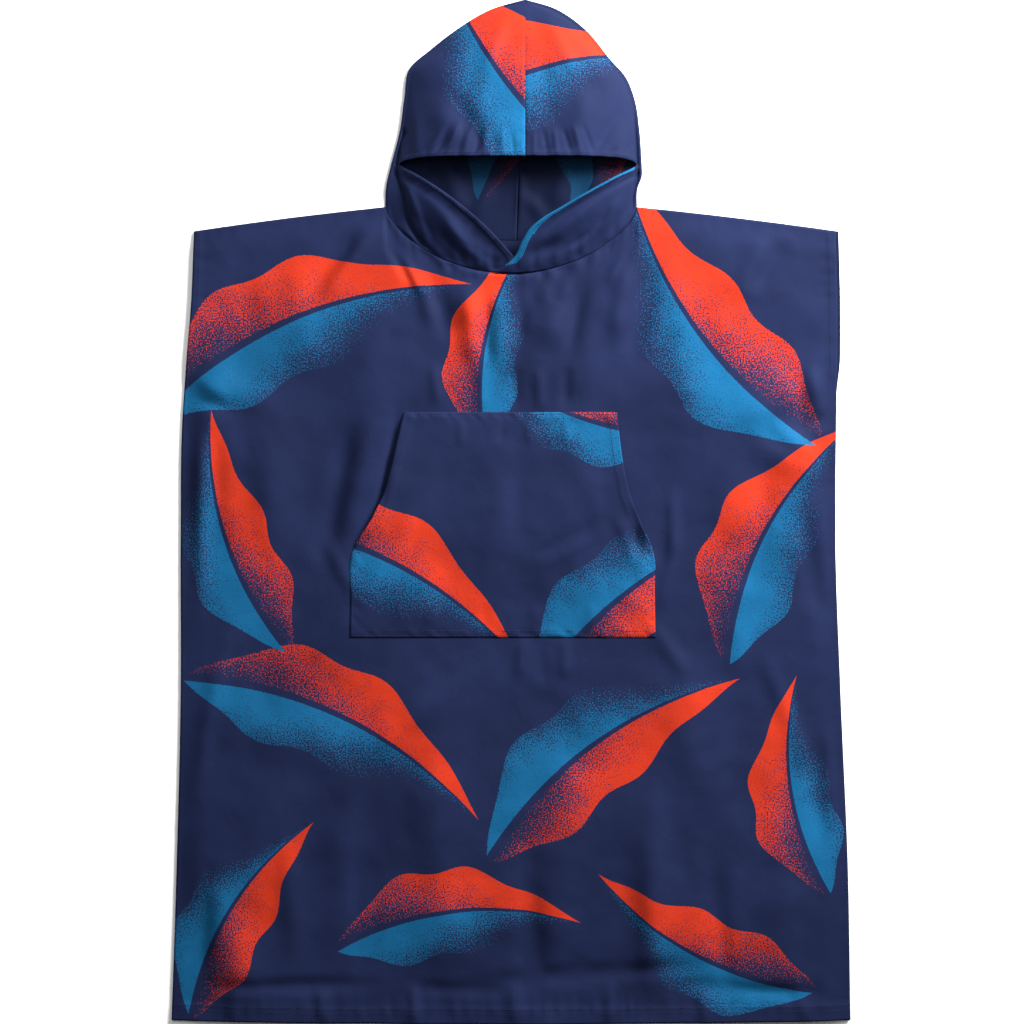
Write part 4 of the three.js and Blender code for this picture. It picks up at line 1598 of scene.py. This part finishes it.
class PONCHO_OT_pocket(PonchoOperator):
    """Sews the kangaroo pocket onto the front"""
    bl_idname = "poncho.pocket"
    bl_label = "Pocket"

    def execute(self, context):
        cloth, shape = self.read(context)
        outside, inside = cloth_materials(cloth)
        across = spaced((0, 0.035, 5), (0.035, 0.965, 88), (0.965, 1, 5))
        rise = spaced((0, 0.03, 4), (0.03, 0.97, 76), (0.97, 1, 4))
        shift = PRINT_SHIFTS["pocket"]

        def place_at(column, row):
            y = mix(POCKET_FOOT_Y, POCKET_TOP_Y, rise[row])
            x = mix(pocket_left(y), pocket_right(y), across[column])
            cloth_place = (x * MM + shift[0], y * MM + shift[1])
            return Vector((x, y, pocket_height(x, y, shape))), cloth_place

        mesh = cloth_mesh("pocket_cloth", len(across) - 1, len(rise) - 1, place_at)
        piece = add_object("pocket_cloth", mesh, outside, inside)
        thicken(piece, cloth.thickness)
        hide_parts("pocket")
        return {"FINISHED"}


class PONCHO_OT_hood(PonchoOperator):
    """Lays the two halves of the hood above the neck, with the face opening up"""
    bl_idname = "poncho.hood"
    bl_label = "Hood"

    def execute(self, context):
        cloth, shape = self.read(context)
        outside, inside = cloth_materials(cloth)
        for half in HOOD_HALVES:
            piece = self.make_half(half, cloth, shape, outside, inside)
            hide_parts(half.name)
        return {"FINISHED"}

    def make_half(self, half, cloth, shape, outside, inside):
        """One half: columns run from the crown seam over the side fold to the seam down the back."""
        brim = spaced((0, 0.05, 4), (0.05, 1, 82))
        strip = spaced((0, 0.08, 5), (0.08, 1, 58))
        turns = spaced((0, 1, 10))
        back = spaced((0, 0.96, 26), (0.96, 1, 2))
        ups = spaced((0, 0.08, 5), (0.08, 1, 50))
        hem_end = shape.hood_hem / CAP_LENGTH
        caps = spaced((0, hem_end, 4), (hem_end, 0.35, 30), (0.35, 1, 44))
        rows = [half.row(up, 0) for up in ups] + [half.row(1, cap) for cap in caps[1:]]
        corner_row = len(ups) - 1
        first_strip = len(brim) - 1
        first_turn = first_strip + len(strip) - 1
        first_back = first_turn + len(turns) - 1
        last = first_back + len(back) - 1
        shift = PRINT_SHIFTS[half.name]

        def surface(column, row_index):
            row = rows[row_index]
            if column > first_back:
                return half.back_point(back[column - first_back], row, shape)
            if column > first_turn:
                return half.side_point(turns[column - first_turn], row)
            if row_index < corner_row or (row_index == corner_row and column > first_strip):
                return half.collar_point(strip[max(column - first_strip, 0)], row, shape)
            if column <= first_strip:
                return half.cap_point(brim[column], row, shape)
            return half.cap_point(1 + strip[column - first_strip], row, shape)

        def place_at(grid_column, row_index):
            column = last - grid_column if half.sign < 0 else grid_column
            place = surface(column, row_index)
            row = rows[row_index]
            if column <= first_turn:
                out = half.sign * (place.x - row.seam_x)
            elif column <= first_back:
                out = abs(row.fold.x - row.seam_x) + turns[column - first_turn] * math.pi * row.half_height
            else:
                out = abs(row.fold.x - row.seam_x) + math.pi * row.half_height + abs(place.x - row.fold.x)
            cloth_place = (half.sign * out * MM + shift[0], place.y * MM + shift[1])
            return place, cloth_place

        def cut(grid_column, row_index):
            column = last - 1 - grid_column if half.sign < 0 else grid_column
            return row_index < corner_row and column < first_strip

        name = half.name + "_cloth"
        mesh = cloth_mesh(name, last, len(rows) - 1, place_at, cut)
        self.shift_edge_print(mesh, half, shape)
        piece = add_object(name, mesh, outside, inside)
        thicken(piece, cloth.thickness)
        return piece

    def shift_edge_print(self, mesh, half, shape):
        """Gives the turned hem round the face its own place on the print."""
        shift = PRINT_SHIFTS[half.name + "_edge"]
        uv_layer = mesh.uv_layers["Cloth"]
        for face in mesh.polygons:
            x, y, z = face.center / MM
            if z < 2 * WALL or not self.on_hem(half, x, y, shape.hood_hem):
                continue
            for loop in face.loop_indices:
                uv_layer.data[loop].uv = uv_layer.data[loop].uv + Vector(shift)

    def on_hem(self, half, x, y, depth):
        """Tells whether a point lies on the hem along the collar's edge."""
        if y > CORNER_Y:
            return False
        base = front_neck_dip(x / NECK_HALF)
        up = (y - NECK_SIDE_Y - base) / (CORNER_Y - NECK_SIDE_Y - base)
        if up >= 1 or abs(x) >= half.ledge_x(y) - LEDGE_MARGIN:
            return False
        return abs(x - half.edge_x(up)) * EDGE_SLANT < depth


class PONCHO_OT_stitching(PonchoOperator):
    """Sews the hems, the pocket and the hood with small stitches"""
    bl_idname = "poncho.stitching"
    bl_label = "Stitching"

    def execute(self, context):
        cloth, shape = self.read(context)
        thread = thread_material(cloth)
        runs = {
            "body_stitches": self.body_runs(shape),
            "pocket_stitches": self.pocket_runs(shape),
            "hood_stitches": self.hood_runs(shape),
        }
        for name, lines in runs.items():
            mesh = self.stitch_mesh(name, lines, shape.stitch_pitch)
            piece = add_object(name, mesh, thread)
        return {"FINISHED"}

    def on_front(self, x, y, shape):
        return Vector((x, y, front_height(x, y, shape)))

    def on_pocket(self, x, y, shape):
        return Vector((x, y, pocket_height(x, y, shape)))

    def body_runs(self, shape):
        """Two rows along the bottom hem and one down each armhole, on the front."""
        lines = []
        for inset in (shape.hem_depth - ROW_INSET, shape.hem_depth - SECOND_ROW_INSET):
            places = between(-BODY_HIGH.x + ROW_INSET, BODY_HIGH.x - ROW_INSET, 400)
            lines.append([self.on_front(x, hem_edge_y(x) + inset, shape) for x in places])
        inset = shape.armhole_hem - ROW_INSET
        for sign in (-1, 1):
            heights = between(ARMHOLE_END_Y + SECOND_ROW_INSET, SHOULDER_TIP_Y - ROW_END, 120)
            lines.append([self.on_front(sign * (half_at(sign, y) - inset), y, shape) for y in heights])
        return lines

    def pocket_runs(self, shape):
        """Rows along the pocket's sewn edges and along its two mouths."""
        lines = []
        for inset in (POCKET_ROW_INSET, SECOND_ROW_INSET):
            left = pocket_left(POCKET_FOOT_Y) + inset
            right = pocket_right(POCKET_FOOT_Y) - inset
            places = between(left, right, 240)
            lines.append([self.on_pocket(x, POCKET_FOOT_Y + inset, shape) for x in places])
        left = pocket_left(POCKET_TOP_Y) + ROW_END
        right = pocket_right(POCKET_TOP_Y) - ROW_END
        places = between(left, right, 200)
        lines.append([self.on_pocket(x, POCKET_TOP_Y - POCKET_ROW_INSET, shape) for x in places])
        for edge, sign in ((pocket_left, 1), (pocket_right, -1)):
            side = between(POCKET_FOOT_Y + ROW_END, MOUTH_END_Y, 60)
            lines.append([self.on_pocket(edge(y) + sign * POCKET_ROW_INSET, y, shape) for y in side])
            mouth = between(MOUTH_END_Y, POCKET_TOP_Y - ROW_END, 120)
            inset = sign * (shape.pocket_hem - ROW_INSET)
            lines.append([self.on_pocket(edge(y) + inset, y, shape) for y in mouth])
            lines.extend(self.tack_runs(edge(MOUTH_END_Y), sign, shape))
        return lines

    def tack_runs(self, edge_x, sign, shape):
        """Short rows side by side that tack the lower end of a pocket mouth."""
        lines = []
        for across in range(TACK_ROWS):
            x = edge_x + sign * (ROW_END + across * TACK_SPACING)
            lines.append([self.on_pocket(x, MOUTH_END_Y + 5 - down, shape) for down in range(11)])
        return lines

    def hood_runs(self, shape):
        """Rows along the hem of the face opening and above its brim."""
        lines = []
        inset = shape.hood_hem - 1.5
        for half in HOOD_HALVES:
            collar = []
            for up in between(0.05, 0.99, 159):
                row = half.row(up, 0)
                width = abs(row.fold.x - half.edge_x(row.up))
                collar.append(half.collar_point(min(inset / EDGE_SLANT / width, 0.5), row, shape))
            lines.append(collar)
            brim_row = half.row(1, inset / CAP_LENGTH)
            lines.append([half.cap_point(column, brim_row, shape) for column in between(0.02, 0.97, 140)])
        return lines

    def stitch_mesh(self, name, lines, pitch):
        """Joins one small stitch for each step along every line."""
        stitch = bmesh.new()
        bmesh.ops.create_uvsphere(stitch, u_segments=6, v_segments=4, radius=1)
        turn = Matrix.Rotation(math.pi / 2, 4, "Y")
        size = Matrix.Diagonal((STITCH_HALF_LENGTH * pitch, STITCH_HALF_WIDTH, STITCH_HALF_HEIGHT, 1))
        bmesh.ops.transform(stitch, matrix=size @ turn, verts=stitch.verts)
        stitch_mesh = bpy.data.meshes.new("one_stitch")
        stitch.to_mesh(stitch_mesh)
        stitch.free()
        bm = bmesh.new()
        for line in lines:
            for place, along in self.steps_along(line, pitch):
                side = Vector((0, 0, 1)).cross(along).normalized()
                up = along.cross(side)
                frame_at = Matrix((along, side, up)).transposed().to_4x4()
                frame_at.translation = place + up * STITCH_LIFT
                first = len(bm.verts)
                bm.from_mesh(stitch_mesh)
                bm.verts.ensure_lookup_table()
                bmesh.ops.transform(bm, matrix=frame_at, verts=bm.verts[first:])
        bmesh.ops.scale(bm, vec=(MM, MM, MM), verts=bm.verts)
        for face in bm.faces:
            face.smooth = True
        mesh = bpy.data.meshes.new(name)
        bm.to_mesh(mesh)
        bm.free()
        bpy.data.meshes.remove(stitch_mesh)
        return mesh

    def steps_along(self, line, pitch):
        """Places a pitch apart along a line, each with the line's direction there."""
        lengths = np.cumsum([0] + [(b - a).length for a, b in zip(line, line[1:])])
        count = int(lengths[-1] / pitch)
        for step in range(count):
            at = (step + 0.5) * pitch
            i = max(min(int(np.searchsorted(lengths, at)), len(line) - 1), 1)
            share = (at - lengths[i - 1]) / (lengths[i] - lengths[i - 1])
            yield line[i - 1].lerp(line[i], share), (line[i] - line[i - 1]).normalized()


class PONCHO_OT_stage(PonchoOperator):
    """Adds the floor, the soft lights and the camera straight above"""
    bl_idname = "poncho.stage"
    bl_label = "Stage"

    def execute(self, context):
        settings = context.scene.poncho_stage
        self.add_floor(settings)
        self.add_light("Key light", KEY_LIGHT_PLACE, KEY_LIGHT_SIZE, settings.key_power)
        self.add_light("Fill light", FILL_LIGHT_PLACE, FILL_LIGHT_SIZE, settings.fill_power)
        world = bpy.data.worlds.new("Studio")
        world.use_nodes = True
        background = world.node_tree.nodes["Background"]
        background.inputs["Color"].default_value = (1, 1, 1, 1)
        background.inputs["Strength"].default_value = settings.world_strength
        context.scene.world = world
        context.scene.view_settings.view_transform = "Standard"
        self.add_camera(context)
        return {"FINISHED"}

    def add_floor(self, settings):
        bm = bmesh.new()
        bmesh.ops.create_grid(bm, x_segments=1, y_segments=1, size=FLOOR_SIZE)
        bmesh.ops.translate(bm, vec=(0, 0, -FLOOR_DROP), verts=bm.verts)
        mesh = bpy.data.meshes.new("floor")
        bm.to_mesh(mesh)
        bm.free()
        floor = bpy.data.objects.new("floor", mesh)
        bpy.context.scene.collection.objects.link(floor)
        material, tree, shader = new_material("Pale floor")
        place = add_node(tree, "ShaderNodeTexCoord").outputs["Object"]
        cloud = add_node(tree, "ShaderNodeTexNoise", {"Vector": place, "Scale": 2.0})
        pale = (*settings.floor_colour, 1)
        paler = (*(min(1, 1.02 * channel) for channel in settings.floor_colour), 1)
        colour = blend_colours(tree, cloud.outputs[0], pale, paler)
        tree.links.new(colour, shader.inputs["Base Color"])
        shader.inputs["Roughness"].default_value = 0.9
        shader.inputs["Specular IOR Level"].default_value = 0.1
        mesh.materials.append(material)
        floor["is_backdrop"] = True

    def add_light(self, name, place, size, power):
        light = bpy.data.lights.new(name, "AREA")
        light.shape = "SQUARE"
        light.size = size
        light.energy = power
        lamp = bpy.data.objects.new(name, light)
        lamp.location = place
        lamp.rotation_euler = (-Vector(place)).to_track_quat("-Z", "Y").to_euler()
        bpy.context.scene.collection.objects.link(lamp)

    def add_camera(self, context):
        """Straight above, so that the frame's 1024 pixels take in 1.2288 m."""
        camera = bpy.data.cameras.new("Camera")
        camera.lens = PHOTO_LENS
        camera.sensor_width = PHOTO_SENSOR
        view = bpy.data.objects.new("Camera", camera)
        height = PHOTO_WIDTH * PHOTO_LENS / PHOTO_SENSOR
        view.location = (PHOTO_CENTRE[0], PHOTO_CENTRE[1], height)
        context.scene.collection.objects.link(view)
        context.scene.camera = view


class PONCHO_PT_panel(bpy.types.Panel):
    """Lists the poncho's sizes, colours and pieces"""
    bl_idname = "PONCHO_PT_panel"
    bl_label = "Hooded Bath Poncho"
    bl_space_type = "VIEW_3D"
    bl_region_type = "UI"
    bl_category = "Poncho"

    def draw(self, context):
        for settings in (context.scene.poncho_cloth, context.scene.poncho_shape, context.scene.poncho_stage):
            box = self.layout.box()
            for name in settings.__annotations__:
                box.prop(settings, name)
        for operator in PIECE_OPERATORS:
            self.layout.operator(operator.bl_idname)


SETTINGS = {
    "poncho_cloth": PonchoClothSettings,
    "poncho_shape": PonchoShapeSettings,
    "poncho_stage": PonchoStageSettings,
}
PIECE_OPERATORS = (
    PONCHO_OT_stage,
    PONCHO_OT_back,
    PONCHO_OT_front,
    PONCHO_OT_pocket,
    PONCHO_OT_hood,
    PONCHO_OT_stitching,
)
CLASSES = (*SETTINGS.values(), *PIECE_OPERATORS, PONCHO_PT_panel)


def register():
    for cls in CLASSES:
        bpy.utils.register_class(cls)
    for name, cls in SETTINGS.items():
        setattr(bpy.types.Scene, name, bpy.props.PointerProperty(type=cls))


def unregister():
    for name in SETTINGS:
        delattr(bpy.types.Scene, name)
    for cls in reversed(CLASSES):
        bpy.utils.unregister_class(cls)


def main():
    register()
    for operator in PIECE_OPERATORS:
        category, name = operator.bl_idname.split(".")
        getattr(getattr(bpy.ops, category), name)()
    boxes = {"cad": CAD_BOX, "visual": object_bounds()}
    sizes = {key: [list(corner) for corner in box] for key, box in boxes.items()}


if __name__ == "__main__":
    main()
